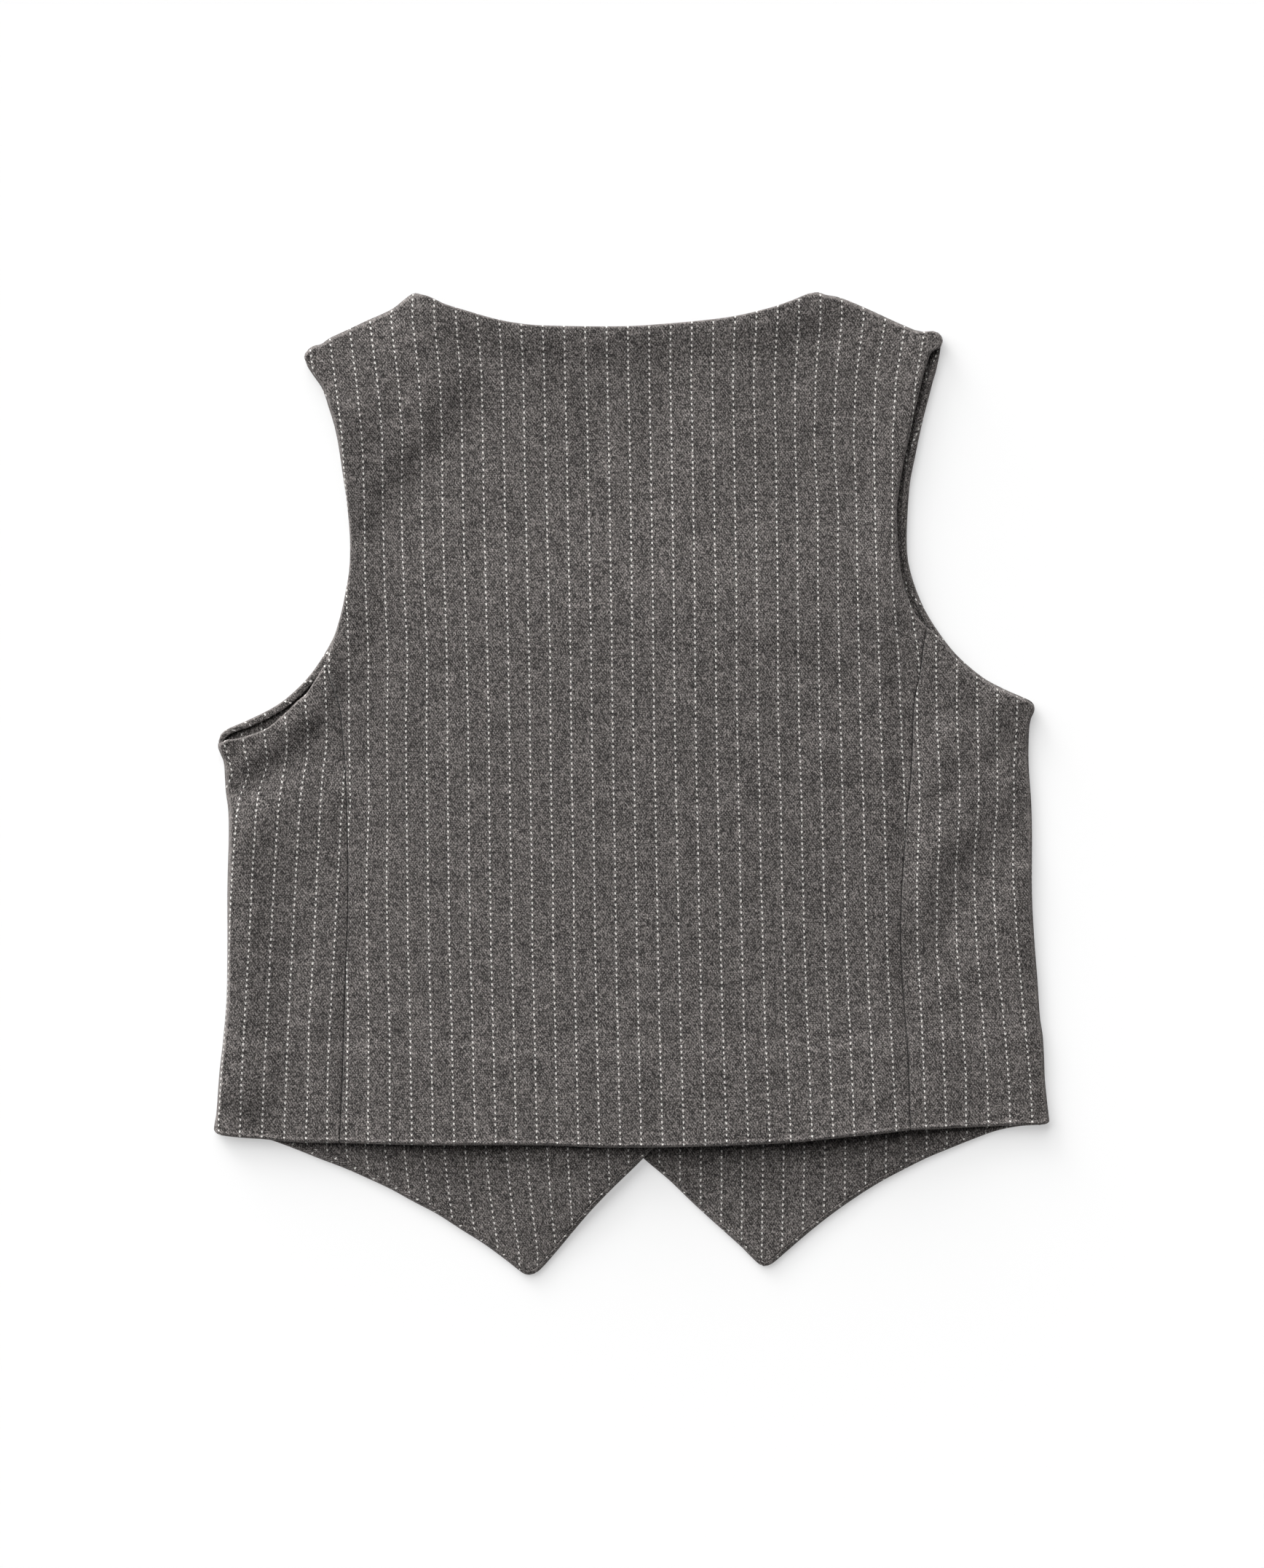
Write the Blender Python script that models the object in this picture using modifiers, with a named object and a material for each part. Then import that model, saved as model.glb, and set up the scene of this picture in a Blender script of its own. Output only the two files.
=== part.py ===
"""Knit pinstripe vest for a small child, buttoned up and lying face down, back side up.

Units: the tables are in millimetres, the meshes in metres. +Z is up from the surface that the
vest lies on, +Y runs towards the neck, and +X towards the wearer's right side. The origin is
under the middle of the vest, on the surface.

Each piece of cloth is an open sheet with a Solidify wall. The sheet is the outer face of the
cloth: it is a lattice of points between four edge lines, and its free edges are turned or
rolled by extruding them round a small radius. From the surface upwards lie the two fronts,
their linings, and the back with its two side panels. The right front laps over the left one,
so the left front and the back step up over it, and the buttons lie under it.
"""

import math

import bmesh
import bpy
import numpy as np

MM = 0.001

# Cloth
CLOTH = 1.0                            # wall of one layer of double knit
TURN_RADIUS = 1.25                     # outside radius where the cloth turns back on itself
LAYER_GAP = 0.3                        # between pieces that touch, and across a seam
TURNED = 2 * TURN_RADIUS               # height of an edge with its turning
TURN_STEP = TURNED - CLOTH             # rise of the upper layer over a turning
FRONT_HEIGHT = TURNED                  # a front with its lining
BACK_LEVEL = FRONT_HEIGHT + LAYER_GAP  # underside of the back over a single front

# Buttons and closure
BUTTON_RADIUS = 6.5
BUTTON_THICKNESS = 2.0
BUTTON_RIM = 0.6                       # bevel of the button's edge
BUTTON_DISH_RADIUS = 4.9
BUTTON_DISH_DEPTH = 0.5
BUTTON_HOLE_RADIUS = 0.8
BUTTON_HOLE_REACH = 1.85               # from the middle to each of the four holes
BUTTON_STEPS = 24
BUTTON_HEIGHTS = (18.0, -24.0, -66.0, -108.0)
CENTRE_FRONT = 4.3
OVERLAP = 20.0
LEFT_EDGE = CENTRE_FRONT + OVERLAP / 2
RIGHT_EDGE = CENTRE_FRONT - OVERLAP / 2
NECK_BREAK = 30.0                      # y at which the front edges turn into the V neck
BUTTON_LIFT = BUTTON_THICKNESS + LAYER_GAP
OVERLAP_RISE = FRONT_HEIGHT + LAYER_GAP + BUTTON_LIFT

# Where the layers climb over the overlap and the buttons: ranges of x, or of y
LAP_LEFT = (-64.0, -22.0)              # the left front climbs onto the right one
LAP_FOOT = (-186.0, -152.0)
LAP_TOP = (62.0, 102.0)
BUTTONS_RIGHT = (26.0, 62.0)           # the fronts climb onto the buttons
BUTTONS_FOOT = (-150.0, -128.0)
BUTTONS_TOP = (30.0, 80.0)
BACK_LEFT = (-92.0, -22.0)             # the back climbs over the whole overlap
BACK_RIGHT = (28.0, 100.0)
BACK_TOP = (62.0, 112.0)

# Edges
HEM_ALLOWANCE = 33.0                   # depth of the turned-up hem of the back
HEM_STEP = 7.0                         # run over which the back comes down off the hem
SIDE_ROLL = 2.0                        # radius of the rolled side and shoulder edges of the back
ROLL_ANGLES = (0.0, 30.0, 60.0, 90.0)  # degrees
EDGE_TURNING = 1.5                     # turning of the back's armholes and neckline
EDGE_FLAT = 8.0                        # width in which the back comes down off that turning
EDGE_RISE = 0.9                        # what is left of the rise at the inner side of that width
SEAM_TOP_LEVEL = 1.9                   # lower rim of the back along the side and shoulder seams
SEAM_BOTTOM_LEVEL = SEAM_TOP_LEVEL - LAYER_GAP
LINING_INSET = 3.0                     # lining's edge inside a rolled side or shoulder
LINING_CORNER_INSET = 4.5              # the same where such an edge meets a turned one
HALF_SEAM = LAYER_GAP / 2
NEARLY_STRAIGHT = 0.97                 # cosine of a bend that counts as smooth
SEAM_END = 0.2                         # the same at the turned ends of a seam

# Edge lines, as points x, y that a smooth curve passes, from corner to corner.
HEM = (
    (-160.5, -133.0), (-142.0, -136.4), (-112.0, -137.9), (-60.0, -138.5), (-3.0, -139.4),
    (45.0, -138.4), (84.7, -135.3), (106.9, -132.9), (135.0, -131.6), (160.5, -130.3),
)
HEM_SEAM_LEFT = 2
HEM_SEAM_RIGHT = 7
NECKLINE = (
    (70.5, 188.8), (59.5, 184.8), (41.6, 179.9), (14.7, 176.7), (-21.0, 175.7),
    (-43.5, 176.7), (-61.5, 180.6), (-83.0, 188.3),
)

# Each side of the body: its lines run downwards from the shoulder or the armpit, and the
# armholes and shoulders start at the shoulder tip. `seam_mark` is the point of the back's
# armhole where the seam of the side panel starts.
LEFT = {
    "name": "left",
    "side": -1,
    "shoulder": ((-124.9, 166.2), (-119.4, 168.9), (-103.0, 177.3), (-88.0, 185.7), (-83.0, 188.3)),
    "back_armhole": (
        (-124.9, 166.2), (-122.4, 156.8), (-117.4, 147.2), (-113.3, 133.3), (-110.0, 111.0),
        (-108.4, 89.0), (-109.9, 72.0), (-113.7, 57.7), (-117.4, 46.4), (-125.0, 34.6),
        (-134.3, 25.8), (-145.7, 19.4), (-158.7, 16.2),
    ),
    "seam_mark": 8,
    "front_armhole": (
        (-124.9, 166.2), (-122.9, 156.6), (-117.0, 146.8), (-112.9, 133.3), (-109.6, 111.0),
        (-108.0, 89.0), (-109.5, 72.0), (-113.9, 57.7), (-123.4, 41.6), (-132.9, 32.5),
        (-148.3, 24.1), (-158.7, 18.8),
    ),
    "side_line": (
        (-158.7, 16.2), (-156.4, 4.0), (-154.8, -14.0), (-155.2, -58.0), (-156.3, -93.0),
        (-158.8, -116.0), (-160.5, -133.0),
    ),
    "seam": (
        (-117.4, 46.4), (-114.4, 36.8), (-111.8, 27.0), (-110.0, 8.0), (-108.9, -30.0),
        (-109.3, -62.0), (-110.6, -97.0), (-112.0, -137.9),
    ),
    "front_hem": (
        (-160.5, -133.0), (-150.0, -134.4), (-137.6, -137.3), (-119.7, -144.2), (-101.8, -151.5),
        (-83.9, -160.2), (-65.9, -171.1), (-48.0, -183.1), (-39.3, -188.8),
    ),
    "cutaway": ((-39.3, -188.8), (-30.1, -181.0), (-7.7, -155.7), (LEFT_EDGE, -133.9)),
    "front_edge": ((LEFT_EDGE, -133.9), (LEFT_EDGE, NECK_BREAK)),
    "neck_edge": (
        (LEFT_EDGE, NECK_BREAK), (-18.0, 79.0), (-50.0, 129.0), (-74.0, 170.0), (-83.0, 188.3),
    ),
    "turnings": {"front_hem": 1.6},
}
RIGHT = {
    "name": "right",
    "side": 1,
    "shoulder": ((118.9, 172.4), (111.4, 173.6), (95.3, 180.3), (77.4, 187.3), (70.5, 188.8)),
    "back_armhole": (
        (118.9, 172.4), (114.9, 163.6), (110.5, 150.2), (106.6, 132.2), (103.0, 113.5),
        (101.8, 98.0), (103.6, 79.5), (107.7, 67.5), (113.3, 59.9), (124.4, 48.7),
        (134.4, 40.3), (142.2, 36.1), (153.6, 31.2),
    ),
    "seam_mark": 8,
    "front_armhole": (
        (118.9, 172.4), (117.3, 160.9), (114.5, 149.8), (110.5, 133.3), (107.1, 116.5),
        (105.7, 97.5), (106.8, 82.9), (110.6, 70.7), (118.3, 57.9), (125.3, 49.3),
        (134.9, 41.0), (142.8, 36.8), (153.6, 32.4),
    ),
    "side_line": (
        (153.6, 31.2), (152.0, 18.0), (152.7, 2.0), (153.8, -20.0), (154.4, -52.0),
        (157.0, -88.0), (158.8, -112.0), (160.5, -130.3),
    ),
    "seam": (
        (113.3, 59.9), (111.4, 47.5), (108.6, 31.0), (106.6, -3.0), (104.0, -35.0),
        (103.4, -62.0), (105.6, -97.0), (106.9, -132.9),
    ),
    "front_hem": (
        (160.5, -130.3), (149.1, -131.4), (131.2, -136.6), (104.3, -148.4), (86.4, -158.8),
        (68.5, -171.9), (50.7, -185.3),
    ),
    "cutaway": ((50.7, -185.3), (41.6, -177.4), (23.7, -161.3), (5.7, -145.0), (RIGHT_EDGE, -134.9)),
    "front_edge": ((RIGHT_EDGE, -134.9), (RIGHT_EDGE, NECK_BREAK)),
    "neck_edge": (
        (RIGHT_EDGE, NECK_BREAK), (20.0, 79.0), (43.0, 129.0), (63.0, 170.0), (70.5, 188.8),
    ),
    "turnings": {"front_hem": 0.5},
}
PLAIN_TURNING = 0.3                    # turning of a front's other free edges
ROLLED_EDGES = ("shoulder", "side_line")

COLOURS = {
    "back": (0.095, 0.089, 0.085), "side_back": (0.082, 0.077, 0.074),
    "front": (0.088, 0.083, 0.079), "front_lining": (0.075, 0.070, 0.067),
    "button": (0.035, 0.030, 0.028),
}
CLOTH_ROUGHNESS = 0.95
BUTTON_ROUGHNESS = 0.35

# Largest folds of the back: x, y of both ends, half width, height (a trough is below zero).
FOLDS = (
    (-62.0, 144.0, -101.0, 100.0, 17.0, -0.8),
    (74.0, 136.0, 92.0, 108.0, 15.0, -0.5),
    (-154.0, 2.0, -112.0, 12.0, 12.0, -0.8),
    (-152.0, -14.0, -122.0, -10.0, 13.0, 0.8),
    (148.0, -4.0, 112.0, -58.0, 14.0, -0.8),
    (152.0, -34.0, 130.0, -66.0, 14.0, 0.6),
    (-134.0, -72.0, -128.0, -104.0, 13.0, -0.6),
)
FOLD_REACH = 1.6                       # a fold fades out at this many half widths
LOFT = 0.9                             # mean gap that the folds of the back leave under it
HEM_LOFT = 0.4                         # the same along the hem
HEM_LOFT_RUN = (10.0, 45.0)            # distance above the hem over which one becomes the other
HEM_LIFT = 1.7                         # where the hem stands off the fronts
HEM_LIFT_MIDDLE = 93.0
HEM_LIFT_REACH = 52.0
HEM_LIFT_DEPTH = 60.0
NECK_SAG = 1.8                         # dip of the back inside the open neck of the fronts
NECK_SAG_RISE = (75.0, 140.0)
NECK_CROSSING = 47.0                   # y at which the neck edges of the fronts cross
NECK_WIDENING = 0.5                    # half the neck's width gained for each unit of y above it
NECK_MIDDLE = -4.0

# Dense curves: points to a span of a table, and the points that give an end its direction
FINENESS = 24
END_POINTS = 8

# Lattice sizes, in cells
ARMHOLE_CELLS = 9
SEAM_CELLS = 9
SHOULDER_CELLS = 3
NECKLINE_CELLS = 9
SIDE_PANEL_CELLS = 4
HEM_ROWS = (TURN_RADIUS, 0.5 * HEM_ALLOWANCE, HEM_ALLOWANCE, HEM_ALLOWANCE + HEM_STEP)
HEM_TURNED_ROWS = 3                    # the rows that the turned-up cloth lies behind
RELAXING_ROUNDS = 40
FRONT_CELLS = {
    "front_hem": 9, "cutaway": 5, "front_edge": 10, "neck_edge": 7, "shoulder": 2,
    "front_armhole": 8, "side_line": 7,
}


def smooth_step(value, low, high):
    """Go from 0 at low to 1 at high with level ends."""
    share = min(max((value - low) / (high - low), 0.0), 1.0)
    return share * share * (3.0 - 2.0 * share)


def inner_normal(edge):
    """Unit normal on the left of an edge, which is the inner side of a loop."""
    return np.array((-edge[1], edge[0])) / math.hypot(*edge)


def curve_through(points, first=0, last=None):
    """Dense smooth curve through the points from index first to index last."""
    points = np.array(points, float)
    last = len(points) - 1 if last is None else last
    padded = np.vstack((2 * points[0] - points[1], points, 2 * points[-1] - points[-2]))
    dense = [points[first]]
    for index in range(first, last):
        before, start, end, after = padded[index:index + 4]
        length = np.linalg.norm(end - start)
        start_slope = length * (end - before) / (length + np.linalg.norm(start - before))
        end_slope = length * (after - start) / (length + np.linalg.norm(after - end))
        for step in range(1, FINENESS + 1):
            t = step / FINENESS
            dense.append(
                (2 * t**3 - 3 * t**2 + 1) * start + (t**3 - 2 * t**2 + t) * start_slope
                + (3 * t**2 - 2 * t**3) * end + (t**3 - t**2) * end_slope
            )
    return np.array(dense)


def lengths_along(curve):
    return np.concatenate(([0.0], np.cumsum(np.linalg.norm(np.diff(curve, axis=0), axis=1))))


def shares_along(curve):
    lengths = lengths_along(curve)
    return lengths / lengths[-1]


def points_at(curve, distances):
    """Points of a curve at the given distances from its start."""
    along = lengths_along(curve)
    return np.stack([np.interp(distances, along, curve[:, axis]) for axis in (0, 1)], axis=1)


def start_of(curve):
    """Direction in which a dense curve sets out."""
    return curve[END_POINTS] - curve[0]


def end_of(curve):
    """Direction in which a dense curve ends."""
    return curve[-1] - curve[-1 - END_POINTS]


def beside(points, distance):
    """Points moved sideways, to the left of the line that they form."""
    slopes = np.gradient(points, axis=0)
    return points + distance * np.array([inner_normal(slope) for slope in slopes])


def evenly(curve, cells):
    return points_at(curve, np.linspace(0.0, lengths_along(curve)[-1], cells + 1))


def front_height(x, y, side):
    """Underside of a front: flat, raised by the buttons, and the left one over the right."""
    lift = BUTTON_LIFT * smooth_step(y, *BUTTONS_FOOT) * (1.0 - smooth_step(y, *BUTTONS_TOP))
    if side > 0:
        return lift * (1.0 - smooth_step(x, *BUTTONS_RIGHT))
    over = smooth_step(x, *LAP_LEFT) * smooth_step(y, *LAP_FOOT) * (1.0 - smooth_step(y, *LAP_TOP))
    return over * (FRONT_HEIGHT + LAYER_GAP + lift)


def fold_relief(x, y):
    """Sum of the soft ridges and troughs of the back."""
    relief = 0.0
    for start_x, start_y, end_x, end_y, half_width, height in FOLDS:
        along_x, along_y = end_x - start_x, end_y - start_y
        length = math.hypot(along_x, along_y)
        run = ((x - start_x) * along_x + (y - start_y) * along_y) / length
        across = abs((x - start_x) * along_y - (y - start_y) * along_x) / length
        beyond = max(-run, run - length, 0.0)
        reach = FOLD_REACH * half_width
        relief += height * (1.0 - smooth_step(math.hypot(across, beyond), 0.0, reach))
    return relief


def hem_height(x):
    """y of the back's hem at x."""
    return float(np.interp(x, [point[0] for point in HEM], [point[1] for point in HEM]))


def back_height(x, y):
    """Underside of the back: over the fronts, the overlap and the open neck."""
    rise = smooth_step(x, *BACK_LEFT) * (1.0 - smooth_step(x, *BACK_RIGHT))
    rise *= 1.0 - smooth_step(y, *BACK_TOP)
    above = y - hem_height(x)
    free = smooth_step(above, *HEM_LOFT_RUN)
    loft = HEM_LOFT + (LOFT - HEM_LOFT + fold_relief(x, y)) * free
    lifted = 1.0 - smooth_step(abs(x - HEM_LIFT_MIDDLE), 0.0, HEM_LIFT_REACH)
    lifted *= 1.0 - smooth_step(above, 0.0, HEM_LIFT_DEPTH)
    half_neck = max((y - NECK_CROSSING) * NECK_WIDENING, 1.0)
    from_middle = abs(x - NECK_MIDDLE) / half_neck
    sag = NECK_SAG * smooth_step(y, *NECK_SAG_RISE) * (1.0 - smooth_step(from_middle, 0.2, 0.9))
    return BACK_LEVEL + OVERLAP_RISE * rise + loft + HEM_LIFT * lifted - sag


def back_face(x, y):
    """Upper face of the back, raised over its turned-up hem."""
    over_hem = 1.0 - smooth_step(y - hem_height(x), HEM_ALLOWANCE, HEM_ALLOWANCE + HEM_STEP)
    return back_height(x, y) + CLOTH + TURN_STEP * over_hem


def back_turned_profile(base):
    """Rings of a turned edge of the back: distance inside the edge, height."""
    return [
        (EDGE_FLAT, base + CLOTH + EDGE_RISE),
        (TURN_RADIUS, base + TURNED),
        (0.0, base + 1.5 * TURN_RADIUS),
        (0.0, base + 0.5 * TURN_RADIUS),
        (TURN_RADIUS, base),
        (TURN_RADIUS + EDGE_TURNING, base),
    ]


def back_rolled_profile(top):
    """Rings of the back's rolled side or shoulder, down to the upright rim of its seam."""
    spring = SEAM_TOP_LEVEL + 2 * LAYER_GAP
    rings = []
    for angle in np.radians(ROLL_ANGLES):
        inside = SIDE_ROLL * (1.0 - math.sin(angle))
        rings.append((inside, spring + (top - spring) * math.cos(angle)))
    return rings + [(0.0, SEAM_TOP_LEVEL + LAYER_GAP), (0.0, SEAM_TOP_LEVEL)]


def front_turned_profile(base, turning):
    """Rings of a front's turned edge, from its flat underside up and back over."""
    return [
        (TURN_RADIUS, base),
        (0.0, base + 0.5 * TURN_RADIUS),
        (0.0, base + 1.5 * TURN_RADIUS),
        (TURN_RADIUS, base + TURNED),
        (TURN_RADIUS + turning, base + TURNED),
    ]


def front_rolled_profile(base):
    """Rings of a front's rolled side or shoulder, up to the rim of its seam."""
    rings = []
    for angle in np.radians(ROLL_ANGLES):
        inside = TURN_RADIUS * (1.0 - math.sin(angle))
        rings.append((inside, base + TURN_RADIUS * (1.0 - math.cos(angle))))
    return rings + [(0.0, SEAM_BOTTOM_LEVEL)]


def offset_point(point, normal_before, distance_before, normal_after, distance_after):
    """Point at the given distances inside the two edges that meet at a point."""
    if normal_before @ normal_after > NEARLY_STRAIGHT:
        middle = normal_before + normal_after
        distance = (distance_before + distance_after) / 2
        return point + middle * distance / (1.0 + normal_before @ normal_after)
    normals = np.array((normal_before, normal_after))
    return point + np.linalg.solve(normals, (distance_before, distance_after))


class Strip:
    """Rings of points that carry a sheet from its lattice round a free edge.

    The outline runs counter-clockwise. Each of its points has a profile on either side, the
    same one except at a corner. An open strip has an end wall at each end: the normal of the
    line that the cloth stops at, and the distance that it keeps from it.
    """

    def __init__(self, outline, profiles, walls=None):
        self.outline = np.array(outline)
        self.profiles = profiles
        self.walls = walls

    def normals(self, index):
        count = len(self.outline)
        here = self.outline[index]
        if self.walls and index == 0:
            before = self.walls[0][0]
        else:
            before = inner_normal(here - self.outline[index - 1])
        if self.walls and index == count - 1:
            after = self.walls[1][0]
        else:
            after = inner_normal(self.outline[(index + 1) % count] - here)
        return before, after

    def ring(self, number):
        """Points of one ring, with their heights."""
        points = []
        for index, here in enumerate(self.outline):
            before, after = self.normals(index)
            profile_before, profile_after = self.profiles[index]
            distances = [profile_before[number][0], profile_after[number][0]]
            if self.walls and index == 0:
                distances[0] = self.walls[0][1]
            if self.walls and index == len(self.outline) - 1:
                distances[1] = self.walls[1][1]
            place = offset_point(here, before, distances[0], after, distances[1])
            height = (profile_before[number][1] + profile_after[number][1]) / 2
            points.append((*place, height))
        return np.array(points)

    def rings(self):
        return [self.ring(number) for number in range(len(self.profiles[0][0]))]


def joined(stretches, closed=False):
    """Join (kind, points) stretches: the points, and the kinds before and after each one."""
    points, kinds = [], []
    for index, (kind, stretch) in enumerate(stretches):
        previous = stretches[index - 1][0] if index or closed else kind
        points.extend(stretch[:-1])
        kinds.append((previous, kind))
        kinds.extend([(kind, kind)] * (len(stretch) - 2))
    if not closed:
        points.append(stretches[-1][1][-1])
        kinds.append((kind, kind))
    return np.array(points), kinds


def back_strip(outline, kinds, walls, height, face):
    """Strip round the back: rolled wherever it meets a side or a shoulder, else turned."""
    profiles = []
    for (x, y), kinds_here in zip(outline, kinds):
        rolled = "rolled" in kinds_here
        rings = back_rolled_profile(face(x, y)) if rolled else back_turned_profile(height(x, y))
        profiles.append((rings, rings))
    return Strip(outline, profiles, walls)


def patch(bottom, top, left, right):
    """Lattice of x, y points between four boundary lines, as rows from bottom to top."""
    columns, rows = len(bottom), len(left)
    across = (shares_along(bottom) + shares_along(top)) / 2
    upward = (shares_along(left) + shares_along(right)) / 2
    lattice = np.zeros((rows, columns, 2))
    for row, v in enumerate(upward):
        for column, u in enumerate(across):
            ruled = (1 - v) * bottom[column] + v * top[column] + (1 - u) * left[row] + u * right[row]
            corners = (1 - u) * (1 - v) * bottom[0] + u * (1 - v) * bottom[-1]
            corners = corners + (1 - u) * v * top[0] + u * v * top[-1]
            lattice[row, column] = ruled - corners
    return lattice


def with_heights(lattice, height):
    heights = [[height(x, y) for x, y in row] for row in lattice]
    return np.dstack((lattice, heights))


def make_material(name, kind, roughness):
    material = bpy.data.materials.new(name)
    material.use_nodes = True
    shader = material.node_tree.nodes["Principled BSDF"]
    shader.inputs["Base Color"].default_value = (*COLOURS[kind], 1.0)
    shader.inputs["Roughness"].default_value = roughness
    shader.inputs["Metallic"].default_value = 0.0
    return material


def make_sheet(name, kind, lattice, strips, face_up, collection):
    """Make one piece of cloth from its lattice and the strips along its edges.

    Each strip is a list of lattice places, whether it closes on itself, and its rings.
    """
    rows, columns = lattice.shape[:2]
    mesh = bmesh.new()
    grid = bmesh.ops.create_grid(mesh, x_segments=columns - 1, y_segments=rows - 1, size=1.0)
    ordered = sorted(grid["verts"], key=lambda vert: (round(vert.co.y, 5), round(vert.co.x, 5)))
    for vert, point in zip(ordered, lattice.reshape(-1, 3)):
        vert.co = point * MM
    for places, closed, rings in strips:
        line = [ordered[row * columns + column] for row, column in places]
        for ring in rings:
            line = extrude_line(mesh, line, closed, ring)
    if not face_up:
        bmesh.ops.reverse_faces(mesh, faces=mesh.faces)
    data = bpy.data.meshes.new(name)
    mesh.to_mesh(data)
    mesh.free()
    piece = bpy.data.objects.new(name, data)
    collection.objects.link(piece)
    data.materials.append(make_material(name, kind, CLOTH_ROUGHNESS))
    wall = piece.modifiers.new("cloth", "SOLIDIFY")
    wall.thickness = CLOTH * MM
    wall.offset = -1.0
    wall.use_even_offset = True
    wall.use_quality_normals = True


def extrude_line(mesh, line, closed, ring):
    """Extrude a line of vertices and move the new ones to the ring's points."""
    followers = line[1:] + line[:1] if closed else line[1:]
    edges = [mesh.edges.get((first, second)) for first, second in zip(line, followers)]
    made = bmesh.ops.extrude_edge_only(mesh, edges=edges)
    fresh = {vert for vert in made["geom"] if isinstance(vert, bmesh.types.BMVert)}
    moved = []
    for vert in line:
        for edge in vert.link_edges:
            if edge.other_vert(vert) in fresh:
                moved.append(edge.other_vert(vert))
                break
    for vert, point in zip(moved, ring):
        vert.co = point * MM
    return moved


def mirrored(points, side):
    """Points of a table, turned so that the right side is built like the left one."""
    return np.array(points, float) * (-side, 1.0)


def seam_rows(seam):
    """Distances above the hem of the lattice rows along a seam that runs down to the hem."""
    length = lengths_along(seam)[-1]
    evenly_above = np.linspace(HEM_ROWS[-1], length - EDGE_FLAT, SEAM_CELLS + 1)
    return np.concatenate((HEM_ROWS, evenly_above[1:]))


def hem_strip(outline, walls, inner_rows, height):
    """Rings that turn the hem under and up inside, behind the lattice rows above it."""
    profiles = []
    for x, y in outline:
        rings = back_turned_profile(height(x, y + TURN_RADIUS))[2:5]
        profiles.append((rings, rings))
    rings = Strip(outline, profiles, walls).rings()
    return rings + [with_heights(row[None], height)[0] for row in inner_rows]


def hem_base_line(outline, walls):
    """First lattice row: the line where the hem starts to turn under."""
    rings = [(TURN_RADIUS, 0.0)]
    return Strip(outline, [(rings, rings)] * len(outline), walls).rings()[0][:, :2]


def back_panel(collection):
    """Centre of the back, between the two seams, from the hem to the neck."""
    armholes, shoulders, seams = {}, {}, {}
    for body in (LEFT, RIGHT):
        side = body["side"]
        armhole = curve_through(body["back_armhole"], 0, body["seam_mark"])
        armholes[side] = evenly(armhole, ARMHOLE_CELLS)
        shoulders[side] = evenly(curve_through(body["shoulder"]), SHOULDER_CELLS)
        seams[side] = curve_through(body["seam"])[::-1]
    outline, kinds = joined((
        ("turned", armholes[1][::-1]),
        ("rolled", shoulders[1]),
        ("turned", evenly(curve_through(NECKLINE), NECKLINE_CELLS)),
        ("rolled", shoulders[-1][::-1]),
        ("turned", armholes[-1]),
    ))
    walls = (
        (inner_normal(end_of(seams[1])), SEAM_END),
        (inner_normal(-end_of(seams[-1])), SEAM_END),
    )
    edge_rings = back_strip(outline, kinds, walls, back_height, back_face).rings()

    hem_cells = 2 * SHOULDER_CELLS + NECKLINE_CELLS
    hem = evenly(curve_through(HEM, HEM_SEAM_LEFT, HEM_SEAM_RIGHT), hem_cells)
    hem_walls = (
        (inner_normal(-start_of(seams[-1])), HALF_SEAM),
        (inner_normal(start_of(seams[1])), HALF_SEAM),
    )
    hem_line = hem_base_line(hem, hem_walls)
    first = edge_rings[0][:, :2]
    right = beside(points_at(seams[1], seam_rows(seams[1])), HALF_SEAM)
    left = beside(points_at(seams[-1], seam_rows(seams[-1])), -HALF_SEAM)
    right[0], right[-1] = hem_line[-1], first[0]
    left[0], left[-1] = hem_line[0], first[-1]
    right = np.vstack((right, first[1:ARMHOLE_CELLS + 1]))
    left = np.vstack((left, first[::-1][1:ARMHOLE_CELLS + 1]))
    top = first[ARMHOLE_CELLS:len(first) - ARMHOLE_CELLS][::-1]
    lattice = patch(hem_line, top, left, right)
    points = with_heights(lattice, back_face)

    rows, columns = lattice.shape[:2]
    seam_row = rows - 1 - ARMHOLE_CELLS
    places = [(row, columns - 1) for row in range(seam_row, rows)]
    places += [(rows - 1, column) for column in range(columns - 2, -1, -1)]
    places += [(row, 0) for row in range(rows - 2, seam_row - 1, -1)]
    for (row, column), point in zip(places, edge_rings[0]):
        points[row, column] = point
    hem_places = [(0, column) for column in range(columns)]
    hem_rings = hem_strip(hem, hem_walls, lattice[1:HEM_TURNED_ROWS], back_height)
    strips = [(places, False, edge_rings[1:]), (hem_places, False, hem_rings)]
    make_sheet("back", "back", points, strips, True, collection)


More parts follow.
